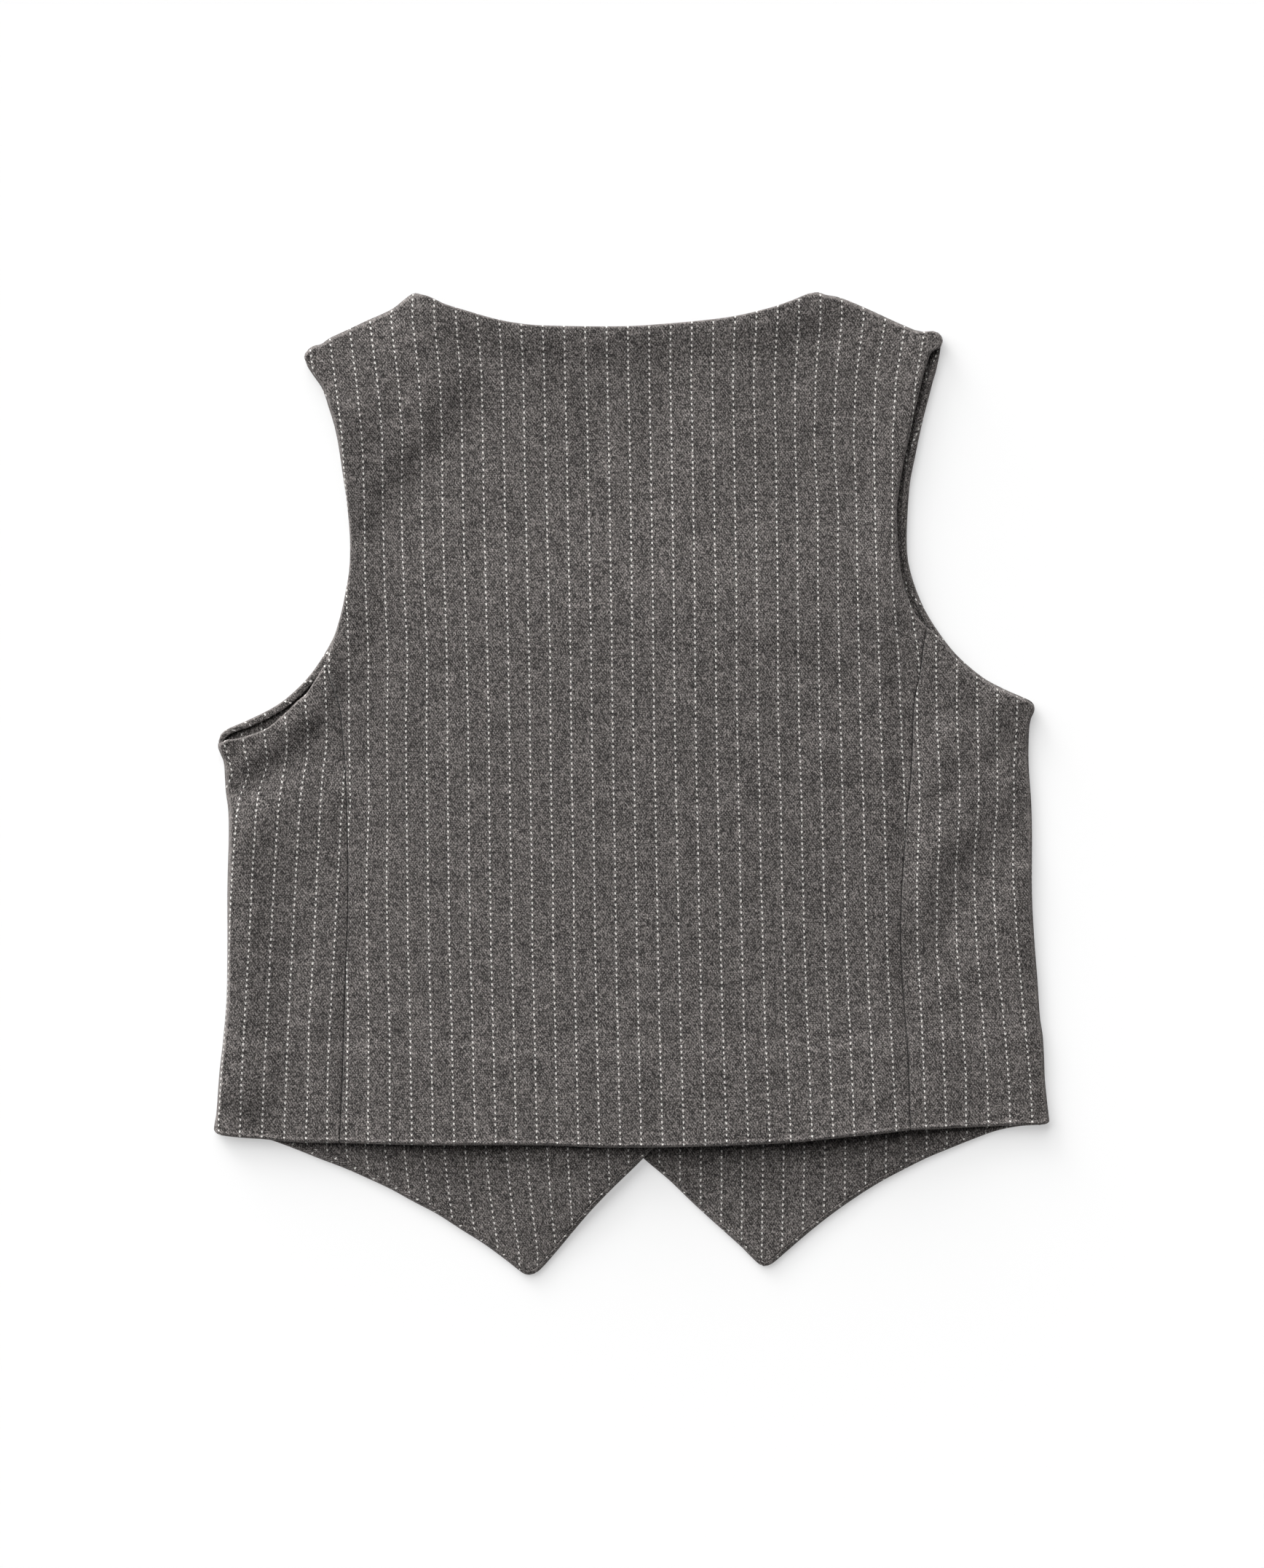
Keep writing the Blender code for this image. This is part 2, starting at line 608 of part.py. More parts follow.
def side_panel(body, collection):
    """Side of the back, between the seam, the armhole, the side edge and the hem."""
    side = body["side"]

    def height(x, y):
        return back_height(-side * x, y)

    def face(x, y):
        return back_face(-side * x, y)

    seam = mirrored(curve_through(body["seam"])[::-1], side)
    armhole = mirrored(curve_through(body["back_armhole"], body["seam_mark"]), side)
    side_line = mirrored(curve_through(body["side_line"])[::-1], side)
    hem_ends = (0, HEM_SEAM_LEFT) if side < 0 else (HEM_SEAM_RIGHT, len(HEM) - 1)
    hem = mirrored(curve_through(HEM, *hem_ends), side)
    if side > 0:
        hem = hem[::-1]
    hem = evenly(hem, SIDE_PANEL_CELLS)
    armhole = evenly(armhole, SIDE_PANEL_CELLS)
    rows_above = np.linspace(HEM_ROWS[-1], lengths_along(side_line)[-1], SEAM_CELLS + 1)
    side_rows = np.concatenate(((0.0,), HEM_ROWS[1:], rows_above[1:]))
    side_points = points_at(side_line, side_rows)

    outline, kinds = joined((("turned", armhole), ("rolled", side_points[::-1])))
    walls = (
        (inner_normal(end_of(seam)), SEAM_END),
        (inner_normal(hem[1] - hem[0]), TURN_RADIUS),
    )
    edge_rings = back_strip(outline, kinds, walls, height, face).rings()
    hem_walls = (
        (inner_normal(-start_of(side_line)), SIDE_ROLL),
        (inner_normal(start_of(seam)), HALF_SEAM),
    )
    hem_line = hem_base_line(hem, hem_walls)

    first = edge_rings[0][:, :2]
    right = beside(points_at(seam, seam_rows(seam)), HALF_SEAM)
    right[0] = hem_line[-1]
    right[-1] = first[0]
    left = first[SIDE_PANEL_CELLS:][::-1]
    left[0] = hem_line[0]
    top = first[:SIDE_PANEL_CELLS + 1][::-1]
    lattice = patch(hem_line, top, left, right)
    points = with_heights(lattice, face)

    rows, columns = lattice.shape[:2]
    places = [(rows - 1, column) for column in range(columns - 1, -1, -1)]
    places += [(row, 0) for row in range(rows - 2, -1, -1)]
    for (row, column), point in zip(places[:-1], edge_rings[0][:-1]):
        points[row, column] = point
    hem_places = [(0, column) for column in range(columns)]
    hem_rings = hem_strip(hem, hem_walls, lattice[1:HEM_TURNED_ROWS], height)
    strips = [(places, False, edge_rings[1:]), (hem_places, False, hem_rings)]
    points, strips = turned_back(points, strips, side)
    make_sheet(f"side_back_{body['name']}", "side_back", points, strips, side < 0, collection)


def turned_back(points, strips, side):
    """Mirror a piece that was built like a left one to its true side."""
    flip = np.array((-side, 1.0, 1.0))
    strips = [(places, closed, [ring * flip for ring in rings]) for places, closed, rings in strips]
    return points * flip, strips


def front_outline(body):
    """Outline of a front, built like a left one, counter-clockwise from the side's lower end."""
    side_line = (body["front_armhole"][-1],) + body["side_line"][1:]
    tables = {**body, "shoulder": body["shoulder"][::-1], "side_line": side_line}
    stretches = []
    for kind, cells in FRONT_CELLS.items():
        curve = mirrored(curve_through(tables[kind]), body["side"])
        stretches.append((kind, evenly(curve, cells)))
    return joined(stretches, closed=True)


def front_edge(body, outline, kinds, height):
    """Rings of a front's edge, and the line where its lining ends."""
    profiles, insets = [], []
    for (x, y), (earlier, later) in zip(outline, kinds):
        base = height(x, y)
        if earlier in ROLLED_EDGES or later in ROLLED_EDGES:
            rings = front_rolled_profile(base)
            profiles.append((rings, rings))
            inset = LINING_INSET if earlier == later else LINING_CORNER_INSET
            insets.append((inset, inset))
        else:
            pair = [body["turnings"].get(kind, PLAIN_TURNING) for kind in (earlier, later)]
            profiles.append(tuple(front_turned_profile(base, turning) for turning in pair))
            insets.append(tuple(TURN_RADIUS + turning + LAYER_GAP for turning in pair))
    corners = [index for index, inset in enumerate(insets) if inset[0] == LINING_CORNER_INSET]
    for index in corners:
        for neighbour in (index - 1, (index + 1) % len(insets)):
            insets[neighbour] = (LINING_INSET, LINING_INSET)
    inset_profiles = [([(one, 0.0)], [(two, 0.0)]) for one, two in insets]
    lining_edge = Strip(outline, inset_profiles).rings()[0][:, :2]
    return Strip(outline, profiles).rings(), lining_edge


def front_pieces(body, collection):
    """A front with its turned edges, and the lining that lies on it."""
    side = body["side"]

    def height(x, y):
        return front_height(-side * x, y, side)

    outline, kinds = front_outline(body)
    rings, lining_edge = front_edge(body, outline, kinds, height)
    columns = FRONT_CELLS["front_hem"]
    rows = FRONT_CELLS["cutaway"] + FRONT_CELLS["front_edge"]
    first = rings[0][:, :2]
    bottom = first[:columns + 1]
    right = first[columns:columns + rows + 1]
    top = first[columns + rows:2 * columns + rows + 1][::-1]
    left = np.vstack((first[2 * columns + rows:], first[:1]))[::-1]
    points = with_heights(relaxed(patch(bottom, top, left, right)), height)
    places = [(0, column) for column in range(columns)]
    places += [(row, columns) for row in range(rows)]
    places += [(rows, column) for column in range(columns, 0, -1)]
    places += [(row, 0) for row in range(rows, 0, -1)]
    front_points, strips = turned_back(points, [(places, True, rings[1:])], side)
    make_sheet(f"front_{body['name']}", "front", front_points, strips, side > 0, collection)

    for (row, column), (x, y) in zip(places, lining_edge):
        points[row, column] = (x, y, height(x, y))
    points[:, :, 2] += FRONT_HEIGHT
    lining_points, no_strips = turned_back(points, [], side)
    name = f"front_lining_{body['name']}"
    make_sheet(name, "front_lining", lining_points, no_strips, side < 0, collection)


def relaxed(lattice):
    """Even out the inner points of a lattice, each towards the mean of its neighbours."""
    lattice = lattice.copy()
    for _ in range(RELAXING_ROUNDS):
        inner = lattice[1:-1, 1:-1]
        mean = (lattice[:-2, 1:-1] + lattice[2:, 1:-1] + lattice[1:-1, :-2] + lattice[1:-1, 2:]) / 4
        lattice[1:-1, 1:-1] = inner + 0.5 * (mean - inner)
    return lattice


def make_button(name, height, collection, cutters):
    """Four-hole button with a dished face, lying face down on the surface."""
    profile = (
        (0.0, BUTTON_THICKNESS),
        (BUTTON_RADIUS - BUTTON_RIM, BUTTON_THICKNESS),
        (BUTTON_RADIUS, BUTTON_THICKNESS - BUTTON_RIM),
        (BUTTON_RADIUS, BUTTON_RIM),
        (BUTTON_RADIUS - BUTTON_RIM, 0.0),
        (BUTTON_DISH_RADIUS, 0.0),
        (BUTTON_DISH_RADIUS - 2 * BUTTON_DISH_DEPTH, BUTTON_DISH_DEPTH),
        (0.0, BUTTON_DISH_DEPTH),
    )
    edges = [(index, index + 1) for index in range(len(profile) - 1)]
    data = bpy.data.meshes.new(name)
    data.from_pydata([(x * MM, 0.0, z * MM) for x, z in profile], edges, [])
    data.materials.append(make_material(name, "button", BUTTON_ROUGHNESS))
    button = bpy.data.objects.new(name, data)
    button.location = (CENTRE_FRONT * MM, height * MM, 0.0)
    collection.objects.link(button)
    turn = button.modifiers.new("turned", "SCREW")
    turn.steps = BUTTON_STEPS
    turn.render_steps = BUTTON_STEPS
    turn.use_merge_vertices = True
    turn.merge_threshold = 0.00005
    cut = button.modifiers.new("holes", "BOOLEAN")
    cut.operation = "DIFFERENCE"
    cut.object = thread_holes(name, button.location, cutters)


def thread_holes(name, place, cutters):
    """Cutter for the four holes of a button."""
    holes = bmesh.new()
    for quarter in range(4):
        angle = math.radians(45 + 90 * quarter)
        made = bmesh.ops.create_cone(
            holes, cap_ends=True, segments=8, radius1=BUTTON_HOLE_RADIUS * MM,
            radius2=BUTTON_HOLE_RADIUS * MM, depth=3 * BUTTON_THICKNESS * MM,
        )
        reach = BUTTON_HOLE_REACH * MM
        shift = (reach * math.cos(angle), reach * math.sin(angle), 0.0)
        bmesh.ops.translate(holes, verts=made["verts"], vec=shift)
    data = bpy.data.meshes.new(f"{name}_holes")
    holes.to_mesh(data)
    holes.free()
    cutter = bpy.data.objects.new(f"{name}_holes", data)
    cutters.objects.link(cutter)
    cutter.location = place
    cutter.hide_render = True
    cutter.display_type = "WIRE"
    return cutter


def main():
    for thing in list(bpy.data.objects):
        bpy.data.objects.remove(thing, do_unlink=True)
    vest = bpy.data.collections.new("knit_vest")
    cutters = bpy.data.collections.new("cutters")
    bpy.context.scene.collection.children.link(vest)
    bpy.context.scene.collection.children.link(cutters)
    back_panel(vest)
    for body in (LEFT, RIGHT):
        side_panel(body, vest)
        front_pieces(body, vest)
    for number, height in enumerate(BUTTON_HEIGHTS, 1):
        make_button(f"button_{number}", height, vest, cutters)


main()
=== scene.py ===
"""Child's knit pinstripe vest, buttoned up and lying face down with its back showing.

The tables are in millimetres and the meshes in metres. The vest lies on z = 0, +Y runs towards
the neck and +X towards the wearer's right side. Every piece of cloth is a lattice of points on
the form of its solid, and its edges are turned, rolled or drawn into a seam ring by ring.
"""

import math

import bmesh
import bpy
import numpy as np
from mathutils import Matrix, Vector


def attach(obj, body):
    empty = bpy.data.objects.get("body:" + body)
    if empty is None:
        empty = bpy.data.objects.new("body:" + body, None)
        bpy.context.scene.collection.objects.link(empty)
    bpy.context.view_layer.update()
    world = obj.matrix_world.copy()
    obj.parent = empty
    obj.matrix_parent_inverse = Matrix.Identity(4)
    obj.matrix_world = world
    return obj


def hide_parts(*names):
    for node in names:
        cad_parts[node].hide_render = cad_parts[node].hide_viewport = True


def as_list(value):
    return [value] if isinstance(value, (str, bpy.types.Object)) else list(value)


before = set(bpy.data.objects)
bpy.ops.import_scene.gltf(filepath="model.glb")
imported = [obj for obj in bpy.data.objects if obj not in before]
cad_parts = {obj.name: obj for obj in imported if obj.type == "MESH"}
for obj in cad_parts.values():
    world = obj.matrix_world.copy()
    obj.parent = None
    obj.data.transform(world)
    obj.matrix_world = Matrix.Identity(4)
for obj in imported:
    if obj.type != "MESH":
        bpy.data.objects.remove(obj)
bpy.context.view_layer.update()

MM = 0.001

# Cloth and layers, as in the part
CLOTH = 1.0
TURN_RADIUS = 1.25
LAYER_GAP = 0.3
TURNED = 2 * TURN_RADIUS
TURN_STEP = TURNED - CLOTH
FRONT_HEIGHT = TURNED
BACK_LEVEL = FRONT_HEIGHT + LAYER_GAP

# The overlap of the fronts and its buttons, and how the cloth over them rises and falls
BUTTON_RADIUS = 6.5
BUTTON_THICKNESS = 2.0
BUTTON_HEIGHTS = (18.0, -24.0, -66.0, -108.0)
CENTRE_FRONT = 4.3
LEFT_EDGE = 14.3
RIGHT_EDGE = -5.7
NECK_BREAK = 30.0
BUTTON_LIFT = BUTTON_THICKNESS + LAYER_GAP
OVERLAP_RISE = FRONT_HEIGHT + LAYER_GAP + BUTTON_LIFT

# x or y between which the left front comes up over the right one and down again,
LAP_LEFT = (-64.0, -22.0)
LAP_FOOT = (-186.0, -152.0)
LAP_TOP = (62.0, 102.0)
# both come up over the buttons and down again,
BUTTONS_RIGHT = (26.0, 62.0)
BUTTONS_FOOT = (-150.0, -128.0)
BUTTONS_TOP = (30.0, 80.0)
# and the back comes up over all of it and down again
BACK_LEFT = (-146.0, -10.0)
BACK_RIGHT = (14.0, 146.0)
BACK_TOP = (62.0, 112.0)

HEM_ALLOWANCE = 33.0
HEM_STEP = 7.0                         # run over which the face comes down above the hem
LOFT = 0.9                             # how far the back lies above its level, and at the hem
HEM_LOFT = 0.4
HEM_LOFT_RUN = (10.0, 45.0)
HEM_LIFT = 2.9                         # the hem stands off the right point
HEM_LIFT_MIDDLE = 93.0
HEM_LIFT_REACH = 52.0
HEM_LIFT_DEPTH = 60.0
HEM_STEP_SHARE = 0.45                  # how much of the hem's own thickness shows on the face
CREASE_START = (4.0, 20.0)             # above the hem, where the creases begin
NECK_SAG = 1.8                         # the back sinks into the open neck of the fronts
NECK_SAG_RISE = (75.0, 140.0)
NECK_CROSSING = 47.0
NECK_WIDENING = 0.5
NECK_MIDDLE = -4.0
NECK_SAG_FADE = (0.2, 0.9)             # shares of the half width of the open neck

# Edges
EDGE_RISE_RUN = (3.0, 17.0)            # run over which the back comes down off a turned edge
SIDE_ROLL = 2.0                        # radius of the rolled sides and shoulders of the back
BACK_RIM = 1.8                         # where the back meets the fronts at the sides, from above
FRONT_RIM = 1.7                        # the same from below
SPRING = 2.5                           # height at which a rolled side stands upright
EDGE_TURNING = 1.5
BORDER = 4.0                           # distance of a lattice from the edges of its cloth
SEAM_MARGIN = 1.5                      # distance of a lattice from a seam
CORNER_RUN = 12.0                      # run over which a lattice fans out into a corner
SEAM_START = 7.0                       # run of a seam below its upper end, left of the lattice
LINING_GAP = 0.08                      # from the end of a turning to the edge of the lining
LINING_INSET = 3.0                     # edge of the lining inside a rolled side
LINING_SINK = 0.1                      # of the lining beside an armhole
LINING_SINK_RUN = 6.0
TURNING_RUN = 2.0                      # run over which a wider turning ends
LIP_RUN = 2.5                          # run over which the lip of an armhole ends
LIP_SHARES = (0.15, 0.5, 0.9)          # of the lip, on the first rings of a front
LONGEST_INSIDE = 0.97                  # rings stay within this share of the way to the lattice
CORNER_BLEND = 5.0                     # run over which a turned edge becomes a rolled one
FLAT_TURNED = (3.2, 2.4, 1.8)          # rings before the bend of a turned edge
FLAT_ROLLED = (3.2, 2.6, 2.2)
FLAT_FRONT = (3.0, 2.0)
# rings round a bend and down a roll, in degrees above the level of its middle
BEND = (90.0, 70.0, 50.0, 30.0, 10.0, -10.0, -30.0, -50.0, -70.0, -90.0)
ROLL = (90.0, 80.0, 70.0, 60.0, 50.0, 40.0, 30.0, 20.0, 10.0, 0.0)
BACK_HIGHLIGHT_RINGS = range(5, 10)          # rings of the back that form its rims, painted lighter as a highlight
# rings of a front that form its rims, painted lighter as a highlight
FRONT_HIGHLIGHT_RINGS = range(5, 10)
# inner rings of a front: share of the turning, further in, drop, share of the way to the rim
FRONT_INNER = (
    (0.5, 0.0, 0.0, 0.25), (1.0, 0.0, 0.03, 0.5), (1.0, 0.12, 0.15, 0.75), (1.0, 0.18, 0.4, 1.0),
)
# edge of a lining: distance inside its turned edge, drop
LINING_RINGS = ((0.6, 0.0), (0.35, 0.03), (0.18, 0.10), (0.06, 0.22), (0.0, 0.5))
HEM_RETURN = (6.0, 11.0, 16.0, 22.0, 28.0, 33.0)
HEM_RETURN_CORNER = 9.0                # the turned-up hem keeps this far from the side
# how a side is drawn into its seam: share of the way, depth
SEAM_DRAW = ((0.45, 0.03), (0.72, 0.11), (0.88, 0.26), (0.97, 0.55))

# Edge lines, from corner to corner
HEM = (
    (-160.5, -132.9), (-160.1, -133.9), (-158.4, -134.8), (-150.8, -135.8), (-142.0, -136.4),
    (-128.0, -137.7), (-112.0, -137.9), (-83.0, -138.6), (-33.0, -138.6), (-10.0, -139.4),
    (17.5, -139.2), (40.0, -138.6), (62.0, -137.5), (84.7, -135.2), (96.0, -134.1),
    (106.9, -132.9), (118.0, -132.4), (140.7, -131.4), (157.0, -130.9), (159.7, -130.7),
    (160.5, -129.8),
)
HEM_SEAM_LEFT = 6
HEM_SEAM_RIGHT = 15
NECKLINE = (
    (70.4, 188.8), (67.9, 188.1), (65.2, 187.0), (60.9, 185.2), (53.9, 182.8), (41.6, 179.8),
    (32.6, 178.4), (14.7, 176.7), (-3.2, 175.6), (-34.6, 175.9), (-43.5, 176.7), (-52.5, 178.4),
    (-63.7, 181.6), (-72.0, 184.2), (-76.3, 186.3), (-81.3, 188.2), (-83.0, 188.4),
)
LEFT_SIDE_LINE = (
    (-158.9, 15.4), (-158.8, 13.6), (-158.0, 11.5), (-156.7, 8.2), (-156.3, 3.0),
    (-155.9, -3.0), (-155.0, -10.0), (-154.8, -20.0), (-155.3, -40.0), (-155.3, -62.0),
    (-155.6, -82.0), (-157.0, -99.0), (-158.3, -110.3), (-159.6, -127.0), (-160.3, -131.0),
    (-160.5, -132.9),
)
LEFT = {
    "name": "left",
    "side": -1,
    "shoulder": (
        (-125.6, 165.0), (-123.6, 167.4), (-121.7, 168.3), (-119.3, 168.8), (-115.9, 171.2),
        (-110.7, 173.6), (-101.8, 177.8), (-92.2, 182.2), (-87.4, 185.9), (-84.7, 187.9),
        (-83.0, 188.4),
    ),
    "back_armhole": (
        (-125.6, 165.0), (-125.8, 163.7), (-125.0, 161.8), (-123.2, 159.2), (-120.6, 155.3),
        (-118.5, 152.2), (-116.9, 148.3), (-115.6, 144.0), (-114.2, 139.5), (-112.8, 133.3),
        (-111.4, 124.9), (-110.3, 116.5), (-109.3, 108.1), (-108.2, 95.5), (-108.3, 82.9),
        (-109.6, 74.5), (-111.3, 66.1), (-113.7, 57.7), (-117.4, 46.4),
    ),
    "side_armhole": (
        (-117.4, 46.4), (-121.2, 40.2), (-125.0, 34.4), (-128.1, 31.9), (-131.5, 28.4),
        (-134.3, 25.8), (-138.7, 22.1), (-141.8, 20.4), (-145.7, 19.0), (-151.9, 17.1),
        (-155.5, 16.9), (-158.9, 15.4),
    ),
    "side_line": LEFT_SIDE_LINE,
    "seam": (
        (-117.4, 46.4), (-114.8, 37.4), (-112.9, 32.5), (-111.6, 27.0), (-110.8, 17.0),
        (-109.9, 7.0), (-109.3, -9.8), (-108.8, -28.9), (-108.9, -50.7), (-109.6, -69.6),
        (-110.5, -96.8), (-111.1, -117.2), (-112.0, -137.9),
    ),
    "front_armhole": (
        (-125.3, 165.4), (-125.7, 163.7), (-125.1, 161.4), (-123.9, 159.1), (-121.3, 155.3),
        (-119.2, 152.3), (-117.6, 148.3), (-116.3, 144.0), (-114.8, 139.5), (-113.3, 133.3),
        (-111.9, 124.9), (-110.7, 116.5), (-109.4, 108.1), (-107.9, 95.5), (-107.9, 82.9),
        (-109.2, 74.5), (-111.2, 66.1), (-113.9, 57.7), (-118.3, 49.3), (-124.2, 40.9),
        (-132.9, 32.5), (-139.6, 28.2), (-148.3, 24.0), (-155.3, 21.0), (-157.0, 19.9),
        (-158.2, 18.2), (-158.8, 16.2), (-158.8, 13.6),
    ),
    "front_side": (*LEFT_SIDE_LINE[1:-2], (-160.2, -131.0), (-160.2, -132.7)),
    "front_hem": (
        (-160.2, -132.7), (-158.6, -133.6), (-150.0, -134.6), (-143.0, -135.7), (-137.6, -137.3),
        (-128.7, -140.6), (-119.7, -144.2), (-110.7, -147.6), (-101.8, -151.5), (-92.8, -155.7),
        (-83.9, -160.6), (-74.9, -165.3), (-65.9, -171.1), (-57.0, -176.7), (-48.0, -183.3),
        (-42.4, -187.7), (-40.6, -188.6), (-39.1, -188.7),
    ),
    "cutaway": (
        (-39.1, -188.7), (-37.6, -188.4), (-35.2, -186.8), (-30.1, -181.2), (-16.7, -165.2),
        (-7.7, -155.7), (1.3, -147.0), (9.0, -139.2), (LEFT_EDGE, -133.9),
    ),
    "front_edge": ((LEFT_EDGE, -133.9), (LEFT_EDGE, NECK_BREAK)),
    "neck_edge": (
        (LEFT_EDGE, NECK_BREAK), (-18.0, 79.0), (-50.0, 129.0), (-74.0, 170.0), (-83.0, 188.4),
    ),
    # corners of the lattices, BORDER inside both of their edges
    "corners": {
        "tip": (-120.6, 163.4), "neck": (-82.4, 183.9), "armpit": (-154.4, 12.6),
        "hem": (-156.2, -129.9), "front_tip": (-120.4, 163.6), "front_neck": (-84.6, 182.5),
        "front_armpit": (-153.9, 16.0), "front_hem": (-156.0, -129.6),
        "point": (-39.8, -183.5), "edge_low": (LEFT_EDGE - 4.0, -132.2),
        "edge_top": (LEFT_EDGE - 4.0, NECK_BREAK - 1.2),
    },
    # wider turned edges of the front: x or y up to which they are full and where they end, width
    "hem_turning": (-118.0, -62.0, 1.6),
    "armhole_turning": (44.0, 62.0, 1.4),
    # height by which the front curls up at the armhole: plain, at y, at the armpit from y on
    "armhole_lip": (0.7, 56.0, 40.0, 1.6),
}
RIGHT_SIDE_LINE = (
    (154.4, 30.1), (154.8, 29.0), (154.5, 27.3), (153.5, 25.2), (152.8, 21.5), (152.5, 15.0),
    (152.5, 8.0), (152.9, 1.0), (153.5, -7.0), (153.8, -20.0), (153.8, -42.0), (154.7, -60.0),
    (155.8, -74.0), (156.9, -90.0), (157.9, -96.5), (158.4, -104.0), (158.8, -114.0),
    (160.0, -125.5), (160.5, -129.8),
)
RIGHT = {
    "name": "right",
    "side": 1,
    "shoulder": (
        (119.5, 170.4), (119.2, 171.5), (118.0, 173.0), (116.1, 173.8), (113.5, 173.7),
        (111.3, 173.4), (104.3, 176.1), (93.1, 181.2), (85.9, 184.4), (82.2, 185.9),
        (78.9, 187.0), (74.4, 187.8), (71.9, 188.7), (70.4, 188.8),
    ),
    "back_armhole": (
        (119.5, 170.4), (119.5, 169.3), (118.6, 167.3), (116.7, 166.5), (114.9, 165.4),
        (113.7, 162.0), (112.4, 158.2), (111.3, 153.9), (110.5, 150.2), (109.6, 146.4),
        (107.9, 139.4), (106.5, 132.2), (104.9, 125.7), (103.9, 120.1), (102.6, 112.0),
        (101.9, 105.3), (101.9, 98.3), (102.3, 91.0), (103.0, 84.0), (104.1, 77.3),
        (105.7, 72.2), (107.7, 67.5), (109.9, 63.5), (113.3, 60.0),
    ),
    "side_armhole": (
        (113.3, 60.0), (115.4, 58.3), (119.2, 54.9), (124.0, 48.9), (128.9, 44.2), (134.2, 40.2),
        (141.8, 36.2), (149.5, 32.9), (152.4, 31.9), (153.7, 31.1), (154.4, 30.1),
    ),
    "side_line": RIGHT_SIDE_LINE,
    "seam": (
        (113.3, 60.0), (112.6, 57.4), (111.5, 48.0), (110.5, 41.0), (109.0, 34.1), (108.2, 26.0),
        (107.5, 6.2), (105.8, -11.9), (104.2, -32.8), (103.3, -50.9), (103.5, -67.6),
        (104.8, -88.5), (106.0, -102.5), (106.9, -132.9),
    ),
    "front_armhole": (
        (118.8, 170.0), (118.9, 168.2), (118.6, 166.1), (117.7, 161.8), (116.9, 158.2),
        (115.6, 153.9), (114.4, 149.1), (112.6, 142.4), (110.5, 133.3), (108.8, 124.9),
        (107.1, 116.5), (106.3, 108.1), (105.7, 95.5), (106.0, 87.1), (107.0, 81.9),
        (109.3, 74.5), (113.0, 66.1), (118.3, 57.7), (125.0, 49.3), (134.8, 40.9),
        (142.4, 36.7), (149.6, 33.5), (152.6, 32.3), (153.9, 31.4), (154.5, 30.4),
    ),
    "front_side": ((154.5, 30.4), (154.8, 29.2), *RIGHT_SIDE_LINE[2:-1], (160.2, -129.9)),
    "front_hem": (
        (160.2, -129.9), (158.4, -130.9), (149.1, -131.6), (140.1, -133.4), (131.2, -136.6),
        (122.2, -140.2), (113.3, -143.9), (104.3, -148.4), (95.3, -153.2), (86.4, -158.8),
        (77.4, -165.1), (68.5, -172.1), (59.5, -179.8), (54.6, -184.0), (52.6, -185.1),
        (50.7, -185.4),
    ),
    "cutaway": (
        (50.7, -185.4), (48.8, -184.5), (46.4, -182.3), (41.6, -177.5), (32.6, -169.4),
        (23.7, -161.3), (14.7, -152.6), (5.7, -145.0), (RIGHT_EDGE, -134.9),
    ),
    "front_edge": ((RIGHT_EDGE, -134.9), (RIGHT_EDGE, NECK_BREAK)),
    "neck_edge": (
        (RIGHT_EDGE, NECK_BREAK), (20.0, 79.0), (43.0, 129.0), (63.0, 170.0), (70.4, 188.8),
    ),
    "corners": {
        "tip": (113.4, 169.2), "neck": (70.5, 184.6), "armpit": (150.0, 27.0),
        "hem": (156.2, -126.4), "front_tip": (113.3, 168.6), "front_neck": (72.8, 183.8),
        "front_armpit": (150.0, 28.0), "front_hem": (156.0, -126.8), "point": (50.9, -180.1),
        "edge_low": (RIGHT_EDGE + 4.0, -133.2), "edge_top": (RIGHT_EDGE + 4.0, NECK_BREAK - 1.2),
    },
    "hem_turning": (60.0, 110.0, 0.3),
    "armhole_turning": (150.0, 170.0, 0.9),
    "armhole_lip": (0.6, 56.0, 40.0, 0.8),
}
PLAIN_TURNING = 0.3

# Folds of the back: x, y of both ends, half width, height (a trough is below zero)
FOLDS = (
    (-62.0, 144.0, -101.0, 100.0, 17.0, -0.8),
    (74.0, 136.0, 92.0, 108.0, 15.0, -0.5),
    (-154.0, 2.0, -112.0, 12.0, 12.0, -0.8),
    (-152.0, -14.0, -122.0, -10.0, 13.0, 0.8),
    (148.0, -4.0, 112.0, -58.0, 14.0, -0.8),
    (152.0, -34.0, 130.0, -66.0, 14.0, 0.6),
    (-134.0, -72.0, -128.0, -104.0, 13.0, -0.6),
)
